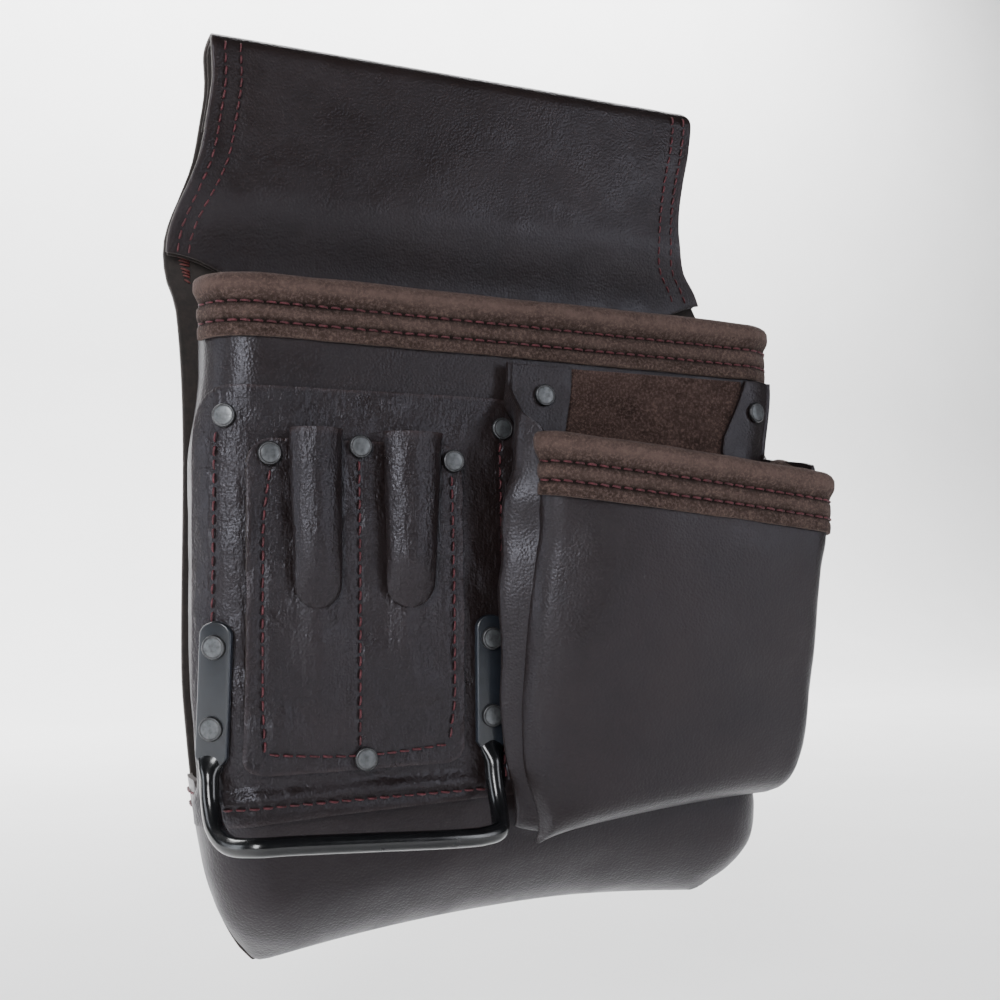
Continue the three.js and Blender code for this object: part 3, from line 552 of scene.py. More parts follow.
LEATHER = grain_leather("Leather_smooth", (0.0082, 0.0048, 0.0041), (0.0142, 0.009, 0.008), 0.4, 0.17, 0.08)
PATCH = grain_leather("Leather_patch", (0.0078, 0.0048, 0.0045), (0.0145, 0.0096, 0.0092), 0.33, 0.42, 0.7)
EDGE = raw_edge("Leather_cut_edge", (0.016, 0.0115, 0.0105), (0.062, 0.049, 0.046))
FLESH = raw_edge("Leather_flesh", (0.009, 0.006, 0.005), (0.022, 0.0155, 0.013))
BINDING = suede("Suede_binding", (0.02, 0.0125, 0.0104), (0.056, 0.037, 0.0315))
BACKING = suede("Suede_backing", (0.02, 0.0115, 0.0095), (0.05, 0.031, 0.0265))
STITCH = thread_material("Thread", (0.028, 0.0045, 0.0065), (0.11, 0.017, 0.0245))
TACK = thread_material("Thread_bar_tack", (0.045, 0.008, 0.007), (0.12, 0.022, 0.018))
RIVET = pewter("Pewter")
PLATE = lacquer("Lacquer_plate", (0.0062, 0.0074, 0.0102), (0.0095, 0.0118, 0.0165), 0.36, 0.1)
ROD = lacquer("Lacquer_rod", (0.0025, 0.0027, 0.0032), (0.005, 0.0053, 0.0062), 0.2, 0.1)


# ---------------------------------------------------------------- meshes
def finish_piece(mesh_object, replaced=()):
    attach(mesh_object, "root")
    if replaced:
        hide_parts(*replaced)
    return mesh_object


def new_object(name, points, faces, materials):
    mesh = bpy.data.meshes.new(name)
    mesh.from_pydata([tuple(p) for p in np.asarray(points, float) * MM], [], faces)
    mesh.validate()
    mesh.shade_smooth()
    for material in materials:
        mesh.materials.append(material)
    piece = bpy.data.objects.new(name, mesh)
    bpy.context.scene.collection.objects.link(piece)
    return piece


def paint(piece, name, values):
    attribute = piece.data.attributes.new(name, "FLOAT", "POINT")
    attribute.data.foreach_set("value", np.asarray(values, np.float32).ravel())


def grid_faces(rows, columns, wrap=False):
    faces = []
    last = columns if wrap else columns - 1
    for j in range(rows - 1):
        for i in range(last):
            k = (i + 1) % columns
            faces.append((j * columns + i, j * columns + k, (j + 1) * columns + k, (j + 1) * columns + i))
    return faces


def apply_modifiers(piece):
    """Makes the piece's modifiers part of its mesh."""
    graph = bpy.context.evaluated_depsgraph_get()
    mesh = bpy.data.meshes.new_from_object(piece.evaluated_get(graph))
    piece.modifiers.clear()
    piece.data = mesh


def skin(name, points, thickness, materials, replaced=(), wear=None, shade=None, soft=0.45):
    """A sheet of leather: the grid is its outer face, the thickness goes inwards, and its edges are eased."""
    rows, columns = points.shape[:2]
    piece = new_object(name, points.reshape(-1, 3), grid_faces(rows, columns), materials)
    edge = np.zeros((rows, columns)) if wear is None else wear
    paint(piece, "wear", edge)
    paint(piece, "shade", np.zeros((rows, columns)) if shade is None else shade)
    solid = piece.modifiers.new("thickness", "SOLIDIFY")
    solid.thickness = thickness * MM
    solid.offset = -1
    solid.use_even_offset = True
    solid.material_offset = 1
    solid.material_offset_rim = 2
    eased = piece.modifiers.new("eased", "BEVEL")
    eased.width = soft * MM
    eased.segments = 2
    eased.limit_method = "ANGLE"
    eased.angle_limit = math.radians(50)
    eased.material = -1
    apply_modifiers(piece)
    return finish_piece(piece, replaced)


def tube(name, rings, materials, replaced=(), wear=None, shade=None):
    """A closed skin through rings of points, capped at both ends."""
    rings = np.asarray(rings, float)
    count = rings.shape[1]
    faces = grid_faces(len(rings), count, wrap=True)
    end = (len(rings) - 1) * count
    faces.append(tuple(range(count - 1, -1, -1)))
    faces.append(tuple(range(end, end + count)))
    piece = new_object(name, rings.reshape(-1, 3), faces, materials)
    paint(piece, "wear", np.zeros(rings.shape[:2]) if wear is None else wear)
    paint(piece, "shade", np.zeros(rings.shape[:2]) if shade is None else shade)
    return finish_piece(piece, replaced)


def edge_wear(u, v, size_u, size_v, reach=1.6):
    """How near each grid point is to the sheet's border, from 1 on it to 0 at the reach."""
    near = np.minimum(np.minimum(u, size_u - u), np.minimum(v, size_v - v))
    return np.clip(1 - near / reach, 0, 1) ** 1.5


def groove(distance, depth=0.5, width=1.0):
    """The sunk line that a tight stitch row draws in the leather."""
    return -depth * np.exp(-(distance / width) ** 2)


def shadow(distance, width=1.1):
    return 0.75 * np.exp(-(distance / width) ** 2)


# ---------------------------------------------------------------- stitching
def resample(points, normals, pitch):
    """Even places along a line, with the surface's direction at each."""
    points, normals = np.asarray(points, float), np.asarray(normals, float)
    steps = np.linalg.norm(np.diff(points, axis=0), axis=1)
    run = np.concatenate([[0], np.cumsum(steps)])
    count = max(1, int(round(run[-1] / pitch)))
    marks = np.linspace(0, run[-1], count + 1)
    line = np.stack([np.interp(marks, run, points[:, k]) for k in range(3)], axis=-1)
    outward = unit(np.stack([np.interp(marks, run, normals[:, k]) for k in range(3)], axis=-1))
    return line, outward


def stitch_mesh(start, end, outward, radius, sides, dip):
    """One stitch: a short thread that rises from its hole, lies flat, and goes down into the next."""
    steps = np.array([0.0, 0.1, 0.28, 0.5, 0.72, 0.9, 1.0])
    rise = np.array([-dip, 0.25, 0.78, 0.95, 0.78, 0.25, -dip])
    forward = unit(end - start)
    aside = np.cross(forward, outward)
    angles = np.arange(sides) * 2 * math.pi / sides
    rings = []
    for t, lift in zip(steps, rise):
        centre = mix(start, end, 0.13 + 0.74 * t) + outward * lift * radius
        swell = radius * (0.8 + 0.25 * math.sin(math.pi * t))
        rings.append([centre + swell * (math.cos(a) * aside + math.sin(a) * outward) for a in angles])
    return rings


def stitches(name, rows, material=STITCH, pitch=STITCH_PITCH, radius=THREAD, lift=0.1, seed=1):
    """Rows of stitches. Each row is a line of points and the outward directions there."""
    sides = 6
    points, faces = [], []
    random = np.random.default_rng(seed)
    for row_points, row_normals in rows:
        line, outward = resample(row_points, row_normals, pitch)
        for k in range(len(line) - 1):
            up = unit(outward[k] + outward[k + 1])
            ahead = unit(line[k + 1] - line[k])
            aside = np.cross(ahead, up)
            slant = aside * (0.16 + 0.1 * random.standard_normal())
            start = line[k] + up * lift - slant
            end = line[k + 1] + up * lift + slant
            rings = stitch_mesh(start, end, up, radius * (1 + 0.07 * random.standard_normal()), sides, 1.6)
            base = len(points)
            points += [p for ring in rings for p in ring]
            faces += [tuple(base + i for i in face) for face in grid_faces(len(rings), sides, wrap=True)]
            tail = base + (len(rings) - 1) * sides
            faces.append(tuple(range(base + sides - 1, base - 1, -1)))
            faces.append(tuple(range(tail, tail + sides)))
    piece = new_object(name, points, faces, [material])
    return finish_piece(piece)


def holes(rows, pitch=STITCH_PITCH):
    """Places of the stitch holes of some rows."""
    return np.concatenate([resample(points, normals, pitch)[0] for points, normals in rows])


def dimple(points, spots, depth=0.35, width=0.8):
    """How far each grid point is drawn in by the stitch holes near it."""
    pull = np.zeros(points.shape[:-1])
    flat = points.reshape(-1, 3)
    out = pull.ravel()
    for spot in spots:
        distance = np.linalg.norm(flat - spot, axis=1)
        near = distance < 3 * width
        out[near] = np.maximum(out[near], np.exp(-(distance[near] / width) ** 2))
    return depth * out.reshape(pull.shape)


def bag_row(along, height, lift):
    along, height = np.broadcast_arrays(np.asarray(along, float), np.asarray(height, float))
    return on_bag(along, height, np.broadcast_to(lift, along.shape)), bag_normal(along, height)


# ---------------------------------------------------------------- back panel and belt loop
def panel_edge(height, side):
    left, right = station(PANEL_EDGES, height)
    return left if side < 0 else right


def flap_forward(height, inset):
    closed = BACK_FACE + LINING + GAP + BACK_LEATHER
    share = np.clip((height - LOOP_BOTTOM) / LOOP_CLOSING, 0, 1)
    slope = (LOOP_DEPTH - closed) * 6 * share * (1 - share) / LOOP_CLOSING
    return mix(closed, LOOP_DEPTH, smooth(share)) - inset * np.hypot(1, slope)


def flap_end(across):
    return FLAP_END + 18 * smooth((np.abs(across) - 70) / 55)


def loop_line(inset, rear_heights):
    """The belt loop's lengthwise stations: where each is, and how to place its points."""
    fold = np.linspace(0, 1, 22)
    flap = np.linspace(0, 1, 46)[1:]
    return ([("rear", h) for h in rear_heights] + [("fold", f) for f in fold] + [("flap", f) for f in flap])


def loop_grid(inset, margin, rear_heights, shares):
    """The loop's outer face as a grid: across from right to left, and up the back, over, and down the flap."""
    top = LOOP_TOP - REAR
    grid = []
    for kind, value in loop_line(inset, rear_heights):
        def place(height):
            right, left = panel_edge(height, 1) - margin, panel_edge(height, -1) + margin
            return mix(right, left, shares)
        if kind == "rear":
            across = place(np.full(shares.shape, value))
            grid.append(at(across, inset, value + bottom_drop(across, value)))
        elif kind == "fold":
            radius, angle = REAR - inset, math.pi * value
            height = top + radius * math.sin(angle)
            grid.append(at(place(np.full(shares.shape, height)), REAR - radius * math.cos(angle), height))
        else:
            guess = place(np.full(shares.shape, mix(top, FLAP_END + 14, value)))
            height = mix(top, flap_end(guess), value)
            across = place(np.maximum(height, -46))
            grid.append(at(across, flap_forward(height, inset), height))
    return np.array(grid)


def loop_rows(side):
    """The two stitch rows down one side of the flap, as lines and directions."""
    rows = []
    heights = np.linspace(43.5, -44, 40)
    insets = {-1: ((5.2, 4.3), (11.4, 8.6)), 1: ((4.4, 7.5), (10.2, 14.5))}[side]
    for upper, lower in insets:
        inset = mix(upper, lower, smooth((-5 - heights) / 40))
        across = panel_edge(heights, side) - side * inset
        height = np.minimum(heights, LOOP_TOP - REAR + 4)
        rows.append((at(across, flap_forward(height, 0) - 0.15, height), np.tile([0.0, -1, 0], (len(heights), 1))))
    return rows


def rear_loop_rows(side):
    rows = []
    heights = np.linspace(36, -52, 40)
    for inset in (5.0, 11.0):
        across = panel_edge(heights, side) - side * inset
        rows.append((at(across, -0.05, heights), np.tile([0.0, 1, 0], (len(heights), 1))))
    return rows


def build_back_panel():
    shares = np.concatenate([[0, 0.004, 0.012], lines(0.02, 0.98, 0.012), [0.988, 0.996, 1]])
    rear = np.concatenate([np.linspace(PANEL_BOTTOM, -250, 24), np.linspace(-244, 30, 50)])
    grid = loop_grid(0, 0, rear, shares)
    flap_rows = loop_rows(-1) + loop_rows(1)
    forward = REAR - grid[..., 1]
    front = smooth((forward - 6) / 8) * smooth((58 - np.abs(grid[..., 2] + 5)) / 20)
    dents = 1.1 * fractal(grid, 75, 3, 2) + 0.35 * fractal(grid, 22, 5, 3)
    grid[..., 1] -= front * dents * 0.8
    for points, _ in flap_rows:
        reach = np.abs(grid[..., None, 2] - points[None, None, :, 2]).argmin(axis=-1)
        distance = grid[..., 0] - points[reach, 0]
        grid[..., 1] -= front * groove(distance, 0.4, 1.6)
    across = np.abs(shares - 0.5) * 2
    near = np.clip((across - 0.985) / 0.015, 0, 1)
    wear = np.tile(near, (grid.shape[0], 1))
    return skin("Back_panel_and_belt_loop", grid, BACK_LEATHER, [LEATHER, FLESH, EDGE],
                ["back_panel"], wear=wear, soft=0.7)


def build_lining():
    shares = lines(0, 1, 0.025)
    grid = loop_grid(BACK_LEATHER + 1.5 * GAP, 0.8, np.linspace(8, 30, 8), shares)
    return skin("Belt_loop_lining", grid, LINING, [FLESH, FLESH, EDGE], ["belt_loop_lining"])


# ---------------------------------------------------------------- main bag
def wall_grid(heights, shares, ends, lift):
    """A grid on the main bag's wall: each row runs between its two ends."""
    rows = []
    for height in heights:
        low, high = ends(height)
        rows.append(on_bag(mix(low, high, shares), np.full(shares.shape, height), np.full(shares.shape, lift)))
    return np.array(rows)


def build_main_front():
    shares = lines(0, 1, 0.011)
    heights = lines(BOOT_FRONT_TOP - BOOT_LAP, RIM_HEIGHT - 7.5, 2.6)
    grid = wall_grid(heights, shares, lambda h: (-float(seam_at(h)), float(seam_at(h))), 0)
    grid[..., 1] -= 0.25 * fractal(grid, 40, 7, 3)
    return skin("Main_bag_front", grid, BAG_LEATHER, [LEATHER, FLESH, EDGE], ["main_bag_front"])


def build_main_gusset(side, name):
    foot = RIM_HEIGHT - BINDING_DEPTH - 3
    shares = lines(0, 1, 0.03)
    heights = np.concatenate([lines(BOOT_FRONT_TOP - BOOT_LAP, foot - 4, 2.8), [foot], lines(foot + 3, RIM_HEIGHT, 4)])
    rows = []
    for height in heights:
        start = float(seam_at(height)) + (-4 if height < foot else 0.8)
        line = mix(start, float(wall_end(height)), shares)
        sink = -BAG_LEATHER - GAP - 1.4 * np.sin(math.pi * shares) ** 2 * smooth((foot - height) / 30)
        rows.append(on_bag(side * line, np.full(shares.shape, height), sink))
    grid = np.array(rows)
    if side < 0:
        grid = grid[:, ::-1]
    grid[..., 0] += 0.45 * fractal(grid, 30, 11 + side, 3)
    return skin(f"Main_gusset_{name}", grid, BAG_LEATHER, [LEATHER, FLESH, EDGE],
                [f"main_gusset_{name}"])


def boot_top(along):
    return mix(BOOT_FRONT_TOP, BOOT_TOP, smooth((np.abs(along) - seam_at(BOOT_TOP)) / 6))


def boot_rows(side):
    """Two short stitch rows across the side wall, below the boot's top edge."""
    rows = []
    for below in (4.6, 9.2):
        height = BOOT_TOP - below
        along = side * np.linspace(float(seam_at(height)) + 4, float(wall_end(height)) - 1.5, 12)
        rows.append(bag_row(along, height, BOOT_LEATHER + GAP))
    return rows


def build_boot():
    shares = lines(0, 1, 0.009)
    lower = np.concatenate([[BAG_BOTTOM, -312.4, -311.4], np.linspace(-310, -254, 30)])
    rows = []
    for height in lower:
        end = float(wall_end(height))
        rows.append(on_bag(mix(-end, end, shares), np.full(shares.shape, height), BOOT_LEATHER + GAP + 0 * shares))
    end = float(wall_end(BOOT_FRONT_TOP))
    along = mix(-end, end, shares)
    rows.append(on_bag(along, boot_top(along), BOOT_LEATHER + GAP + 0 * shares))
    grid = np.array(rows)
    folds = fractal(grid * np.array([1, 1, 1.6]), 34, 13, 3)
    grid[..., 1] -= 0.5 * folds * smooth((REAR - grid[..., 1] - 10) / 10)
    wear = np.zeros(grid.shape[:2])
    wear[-1] = 1
    return skin("Main_bag_boot", grid, BOOT_LEATHER, [LEATHER, FLESH, EDGE], ["main_bag_boot"],
                wear=wear)


# ---------------------------------------------------------------- suede bindings
def binding_profile(leather):
    """The binding's section as rows of lift, height, wear and shade, round the closed outline."""
    outside = BINDING_SUEDE + GAP
    inside = -leather - GAP
    front_heights = np.concatenate([np.linspace(-BINDING_DEPTH + 0.3, -9, 26), [-8, -7, -6, -5, -4, -3]])
    puff = 0.4 * np.exp(-((front_heights + 15.2) / 2.6) ** 2) + 0.2 * np.exp(-((front_heights + 21.8) / 1.8) ** 2)
    roll = 1.9 * smooth((front_heights + 10.6) / 4.5) * smooth((0.5 - front_heights) / 3.4)
    sunk = sum(groove(front_heights + row, 0.5, 1.0) for row in BINDING_ROWS)
    # wear column: rubbed nap on the edges, plus a painted highlight along the raised top roll and the puff between the
    # stitch rows
    wear = 0.85 * np.exp(-((front_heights + 5) / 2.8) ** 2) + 0.35 * np.exp(-((front_heights + 15.2) / 1.6) ** 2)
    dark = sum(shadow(front_heights + row, 1.2) for row in BINDING_ROWS)
    rows = [(GAP, -BINDING_DEPTH, 0.3, 0.3), (outside - 0.5, -BINDING_DEPTH, 0.9, 0)]
    rows += list(zip(outside + puff * 0.8 + roll + sunk, front_heights, wear, dark))
    rows += [(outside + 1.1, -1.5, 0.5, 0), (outside - 0.3, -0.45, 0.4, 0), (-leather / 2, 0, 0.3, 0)]
    rows += [(inside - 1.6, -0.8, 0.2, 0), (inside - 2.8, -2.4, 0.1, 0), (inside - 3, -5, 0, 0.1)]
    rows += [(inside - 2.4, -9, 0, 0.2), (inside - 1.9, -15, 0, 0.2), (inside - BINDING_SUEDE, -BINDING_DEPTH, 0, 0.2)]
    rows += [(inside, -BINDING_DEPTH, 0, 0.6), (inside, -5, 0, 0.6), (GAP, -5, 0, 0.6)]
    return np.array(rows)


def build_binding(name, places, leather, wall, node, seed):
    """Suede folded over an edge. The wall function gives points and level directions below the rim."""
    profile = binding_profile(leather)
    rings, rub_and_highlight, shades = [], [], []
    for k, place in enumerate(places):
        point, outward = wall(place, profile[:, 1])
        lift = profile[:, 0].copy()
        rings.append(point + outward * lift[:, None])
        rub_and_highlight.append(profile[:, 2])
        shades.append(profile[:, 3])
    rings = np.array(rings)
    front = (profile[:, 0] > GAP + 0.3)[None, :]
    outward = np.array([wall(place, profile[:, 1])[1] for place in places])
    rough = 0.55 * fractal(rings, 13, seed, 3) + 0.5 * fractal(rings, 46, seed + 1, 2)
    rings = rings + outward * (rough * front * 0.75)[..., None]
    rings[..., 2] += 0.5 * fractal(rings, 30, seed + 2, 2)
    rows = []
    for below in BINDING_ROWS:
        line = np.array([wall(place, np.array([-below]))[0][0] for place in places])
        normal = np.array([wall(place, np.array([-below]))[1][0] for place in places])
        rows.append((line + normal * (BINDING_SUEDE + GAP - 0.3), normal))
    pull = dimple(rings, holes(rows), 0.45, 1.0)
    rings -= outward * (pull * front)[..., None]
    shades = np.array(shades) + 1.6 * pull
    piece = tube(name, rings[::-1], [BINDING], [node], wear=np.array(rub_and_highlight)[::-1], shade=shades[::-1])
    return piece, rows


def main_wall(along, down):
    point = bag_point(np.full(down.shape, along), np.full(down.shape, RIM_HEIGHT))
    point[..., 2] += down + RIM_SLOPE * point[..., 0]
    outward = level(bag_normal(np.full(down.shape, along), np.full(down.shape, RIM_HEIGHT)))
    return point, outward


def small_wall(along, down):
    rim_x = small_point(along, SMALL_RIM_HEIGHT)[0]
    past = along - float(small_seam(SMALL_RIM_HEIGHT))
    height = small_rim_height(rim_x) + down + 10 * smooth(past / 30)
    places = np.full(down.shape, along)
    level_height = np.minimum(height, SMALL_RIM_HEIGHT + SMALL_RIM_SLOPE * rim_x + down)
    point = small_point(places, level_height)
    point[..., 2] = height
    return point, level(small_normal(places, level_height))


# ---------------------------------------------------------------- small bag
def build_small_front():
    heights = np.concatenate([[SMALL_BOTTOM, -268.6, -268], np.linspace(-267, -256, 9), np.linspace(-253, -160, 42)])
    shares = np.concatenate([lines(0, 0.1, 0.008), lines(0.11, 0.89, 0.0125), lines(0.9, 1, 0.008)])
    rows = []
    turned = 2.6 * np.clip((np.abs(shares - 0.5) - 0.47) / 0.03, 0, 1) ** 2
    for height in heights:
        end = float(small_seam(height)) + 1.6
        fade = float(smooth((height + 266) / 22))
        rows.append(on_small(mix(-end, end, shares), np.full(shares.shape, height), -fade * turned * (shares < 0.5)))
    for share in np.linspace(0.1, 1, 12):
        end = float(small_seam(SMALL_RIM_HEIGHT)) + 1.6 * (1 - share)
        along = mix(-end, end, shares)
        top = small_rim_height(small_point(along, SMALL_RIM_HEIGHT)[..., 0]) - 6
        rows.append(on_small(along, mix(-160.0, top, share), -turned * (shares < 0.5) * (1 - smooth(share * 2.5))))
    grid = np.array(rows)
    depth = smooth((REAR - grid[..., 1] - 62) / 14)
    hollow = np.exp(-((grid[..., 0] - 20) / 16) ** 2) * np.exp(-((grid[..., 2] + 236) / 26) ** 2)
    low = np.exp(-((grid[..., 0] - 60) / 45) ** 2) * np.exp(-((grid[..., 2] + 252) / 12) ** 2)
    grid[..., 1] -= depth * (0.9 * fractal(grid, 60, 17, 2) + 0.22 * fractal(grid, 17, 19, 3) - 1.1 * hollow)
    grid[..., 1] += depth * 0.8 * low
    grid = eased(grid)
    return skin("Small_bag_front", grid, POCKET_LEATHER, [LEATHER, FLESH, EDGE], ["small_bag_front"])


def gusset_line(side, height, steps):
    """One level line of the small bag's side wall, from its flange on the main bag to the front seam."""
    rim = small_rim_height(0 if side < 0 else 125)
    rim_foot = rim - BINDING_DEPTH - 2
    ear_foot = EAR_BOTTOM if side < 0 else EAR_BOTTOM - 9
    above = float(smooth((height - ear_foot + 6) / (24 if side < 0 else 8)))
    bulge = float(station(SMALL_ROWS, max(height, -250))[3])
    swell = bulge if side < 0 else bulge * 0.3
    fuller = 4.5 * float(smooth((-128 - height) / 18)) * mix(1, 0.5, float(smooth((-175 - height) / 25)))
    bag_half = float(station(BAG_ROWS, height)[0])
    foot = 2.8 - 11 * float(smooth((height + 120) / 18)) if side < 0 else min(119.5, BAG_CENTRE + bag_half - 6)
    ear = 20.8 - foot if side < 0 else mix(22, 12, np.clip((height - EAR_BOTTOM) / 28, 0, 1))
    wide = float(smooth((height + 134) / 10)) if side < 0 else above
    reach = np.linspace(mix(9, ear, wide), 1.5, 12)
    across = foot - side * reach
    heights = np.full(reach.shape, height)
    flange = on_bag(along_for(across, heights), heights, EAR_LIFT + 0 * reach)
    root = on_bag(along_for(foot, height), height, EAR_LIFT + 1.2)
    behind = smooth((height - rim_foot + 26) / 24)
    seam_height = min(height, rim - 2)
    place = float(small_seam(seam_height)) + mix(-4, 1.4, float(behind))
    seam = on_small(side * place, seam_height, -POCKET_LEATHER - 2 * GAP)
    if side < 0:
        seam = eased(seam)
    seam[2] = mix(seam[2], height, float(behind))
    span = np.linspace(0, 1, steps)[1:] * mix(1, 0.06, above)
    wall = mix(root, seam, span[:, None])
    if side < 0:
        wall[:, 0] -= (swell + 0.8 * fuller) * (1 - above) * np.sin(math.pi * span ** 1.15) ** 1.3
    else:
        wall[:, 0] += swell * np.sin(math.pi * span) ** 2
    return np.concatenate([flange, root[None], wall])


def build_small_gusset(side, name):
    lowest = -267 if side < 0 else -259
    heights = np.concatenate([np.linspace(lowest, -150, 48), np.linspace(-148, -121, 18), np.linspace(-119, EAR_TOP, 26)])
    grid = np.array([gusset_line(side, float(h), 26) for h in heights])
    if side > 0:
        grid = grid[:, ::-1]
    bend = smooth((REAR - grid[..., 1] - 58) / 8)
    grid[..., 0] += bend * 0.8 * fractal(grid, 24, 23 + side, 3)
    return skin(f"Small_gusset_{name}", grid, POCKET_LEATHER, [LEATHER, LEATHER, LEATHER],
                [f"small_gusset_{name}"])


def build_small_back():
    heights = lines(BOOT_TOP, EAR_TOP, 3)
    across = lines(5, 106, 2.6)
    rows = [on_bag(along_for(across, np.full(across.shape, h)), np.full(across.shape, h),
                   SUEDE + 1.5 * GAP + 0 * across) for h in heights]
    grid = np.array(rows)
    grid[..., 1] -= 0.3 * fractal(grid, 26, 29, 3)
    return skin("Small_bag_back", grid, SUEDE, [BACKING, BACKING, EDGE], ["small_bag_back"])


# ---------------------------------------------------------------- tool patches and pen sleeves
def corner_pull(distance, radius):
    reach = np.clip(radius - distance, 0, radius)
    return radius - np.sqrt(radius * radius - reach * reach)


def patch_place(patch, column, row):
    """Place along the wall and height for a column and row of a patch."""
    pull = corner_pull(np.minimum(column, patch["width"] - column), patch["round"])
    low = patch["bottom"] + pull * patch["round_bottom"]
    height = mix(low, patch["top"] - pull, (row - patch["bottom"]) / (patch["top"] - patch["bottom"]))
    return along_for(patch["right"], height) - patch["width"] + column, height


def patch_lift(height):
    step = (BOOT_LEATHER + GAP) * smooth((BOOT_FRONT_TOP + 6 - height) / 5)
    return PATCH_LEATHER + GAP + step


def across_row(patch, columns, heights, lift):
    """A stitch row on a patch through the given columns and heights."""
    columns, heights = np.broadcast_arrays(np.asarray(columns, float), np.asarray(heights, float))
    along = along_for(patch["right"], heights) - patch["width"] + columns
    return on_bag(along, heights, lift(heights)), bag_normal(along, heights)


def tack_rows():
    """Hand-sewn bar tacks over the back panel's left ear, beside the main bag's rim."""
    rows = []
    inside = np.array([[0.0, -1, 0]] * 2)
    for k in range(7):
        top = -43.5 - 1.5 * k
        line = at(np.array([-122.5 + 0.5 * k, -116.0]), BACK_LEATHER + 0.1, np.array([top, top - 1.6 + 0.5 * (k % 3)]))
        rows.append((line, inside))
    return rows


def outer_rows():
    left = across_row(OUTER_PATCH, np.linspace(9.5, 8.2, 40), np.linspace(-119, -250, 40), patch_lift)
    right = across_row(OUTER_PATCH, 127 - np.linspace(7.5, 7, 40), np.linspace(-119, -250, 40), patch_lift)
    bottom = across_row(OUTER_PATCH, np.linspace(14, 112, 40), np.linspace(-251.8, -253.6, 40), patch_lift)
    return [left, right, bottom]


def inner_rows():
    def lift(height):
        return POCKET_LIFT + 0 * height
    left = across_row(INNER_PATCH, np.array([8, 5.5, 5.2, 5.4, 6.5]), np.array([-133, -150, -185, -218, -234.5]), lift)
    right = across_row(INNER_PATCH, 83 - np.array([4.4, 4.2, 4.0, 4.0, 6.0]), np.array([-133, -150, -185, -218, -233]),
                       lift)
    low_columns = np.linspace(7.5, 76, 30)
    sag = 2.2 * np.sin(math.pi * (low_columns - 7.5) / 68.5)
    bottom = across_row(INNER_PATCH, low_columns, -234.8 - sag, lift)
    centre = across_row(INNER_PATCH, np.full(30, 41.6), np.linspace(-128.5, -234, 30), lift)
    return [left, right, bottom, centre]


def worked_patch(patch, lift, rows, columns, heights, seed, wrinkle):
    """A patch with its stitch rows drawn in and its surface wrinkled between them."""
    grid, wear = [], []
    for height in heights:
        along, level_height = patch_place(patch, columns, height)
        grid.append(on_bag(along, level_height, lift(level_height)))
        side = np.minimum(columns, patch["width"] - columns)
        ends = np.minimum(patch["top"] - height, height - patch["bottom"])
        wear.append(np.clip(1 - np.minimum(side, ends) / 1.5, 0, 1))
    grid = np.array(grid)
    spots = holes(rows, 1.2)
    seam = dimple(grid, spots, 1.0, 1.5)
    crumple = np.abs(fractal(grid, 17, seed, 4)) * 1.7 - 0.5
    out = wrinkle * (crumple + 0.8 * fractal(grid, 42, seed + 1, 2)) * (1 - 0.9 * seam) - 0.45 * seam
    grid[..., 1] -= out
    shade = 0.8 * dimple(grid, holes(rows), 0.9, 1.0)
    return grid, np.array(wear), shade


def build_outer_patch():
    columns = lines(0, 127, 2.1, fine=(0.8, 8.8, 119.7))
    heights = np.concatenate([lines(-257.5, -244, 1.0), lines(-243, -102, 2.1, fine=(-103,))])
    grid, wear, shade = worked_patch(OUTER_PATCH, patch_lift, outer_rows(), columns, heights, 31, 0.75)
    return skin("Outer_tool_patch", grid, PATCH_LEATHER, [PATCH, FLESH, EDGE], ["outer_tool_patch"],
                wear=wear, shade=shade)


def build_inner_patch():
    columns = lines(0, 83, 1.9, fine=(0.8, 5.5, 41.6, 78.8))
    heights = lines(-242, -121.5, 1.9, fine=(-241, -236.5, -122.5))
    grid, wear, shade = worked_patch(INNER_PATCH, lambda h: POCKET_LIFT + 0 * h, inner_rows(), columns, heights, 37,
                                     0.65)
    ridge = np.zeros(grid.shape[:2])
    for sleeve in SLEEVES.values():
        across = grid[..., 0] - sleeve["bottom"]
        below = SLEEVE_END - grid[..., 2]
        ridge += 2.6 * np.exp(-(across / 7.5) ** 2) * smooth((below + 12) / 10) * (1 - smooth(below / 46))
    grid[..., 1] -= ridge
    return skin("Inner_tool_patch", grid, POCKET_LEATHER, [PATCH, FLESH, EDGE], ["inner_tool_patch"],
                wear=wear, shade=shade)


def build_sleeve(name, top, bottom, width_top, width_bottom):
    turn = np.linspace(0.25, math.pi / 2, 14)
    shares = np.concatenate([0.14 * (1 - np.cos(turn)), np.linspace(0.16, 1, 40)])
    sides = np.linspace(-1, 1, 33)
    rows = []
    for share in shares:
        tongue = math.sqrt(max(1 - min(max((0.14 - share) / 0.14, 0), 0.97) ** 2, 0))
        half = mix(width_bottom, width_top, share) / 2 * tongue
        across = mix(bottom, top, share) + sides * half
        height = np.full(sides.shape, mix(SLEEVE_END, SLEEVE_TOP, share))
        arch = np.sqrt(np.maximum(1 - sides * sides * 0.96, 0)) * smooth(share / 0.42 + 0.25)
        lift = POCKET_LIFT + GAP + SLEEVE_LEATHER + 0.4 + (SLEEVE_SWELL - 1.5) * arch
        rows.append(on_bag(along_for(across, height), height, lift))
    grid = np.array(rows)
    grid[..., 1] -= 0.35 * fractal(grid, 14, 41, 3)
    wear = np.zeros(grid.shape[:2])
    wear[-1] = wear[0] = 1
    wear[-2] = 0.5
    return skin(f"Pen_sleeve_{name}", grid, SLEEVE_LEATHER, [PATCH, FLESH, EDGE],
                [f"pen_sleeve_{name}"], wear=wear, soft=0.4)


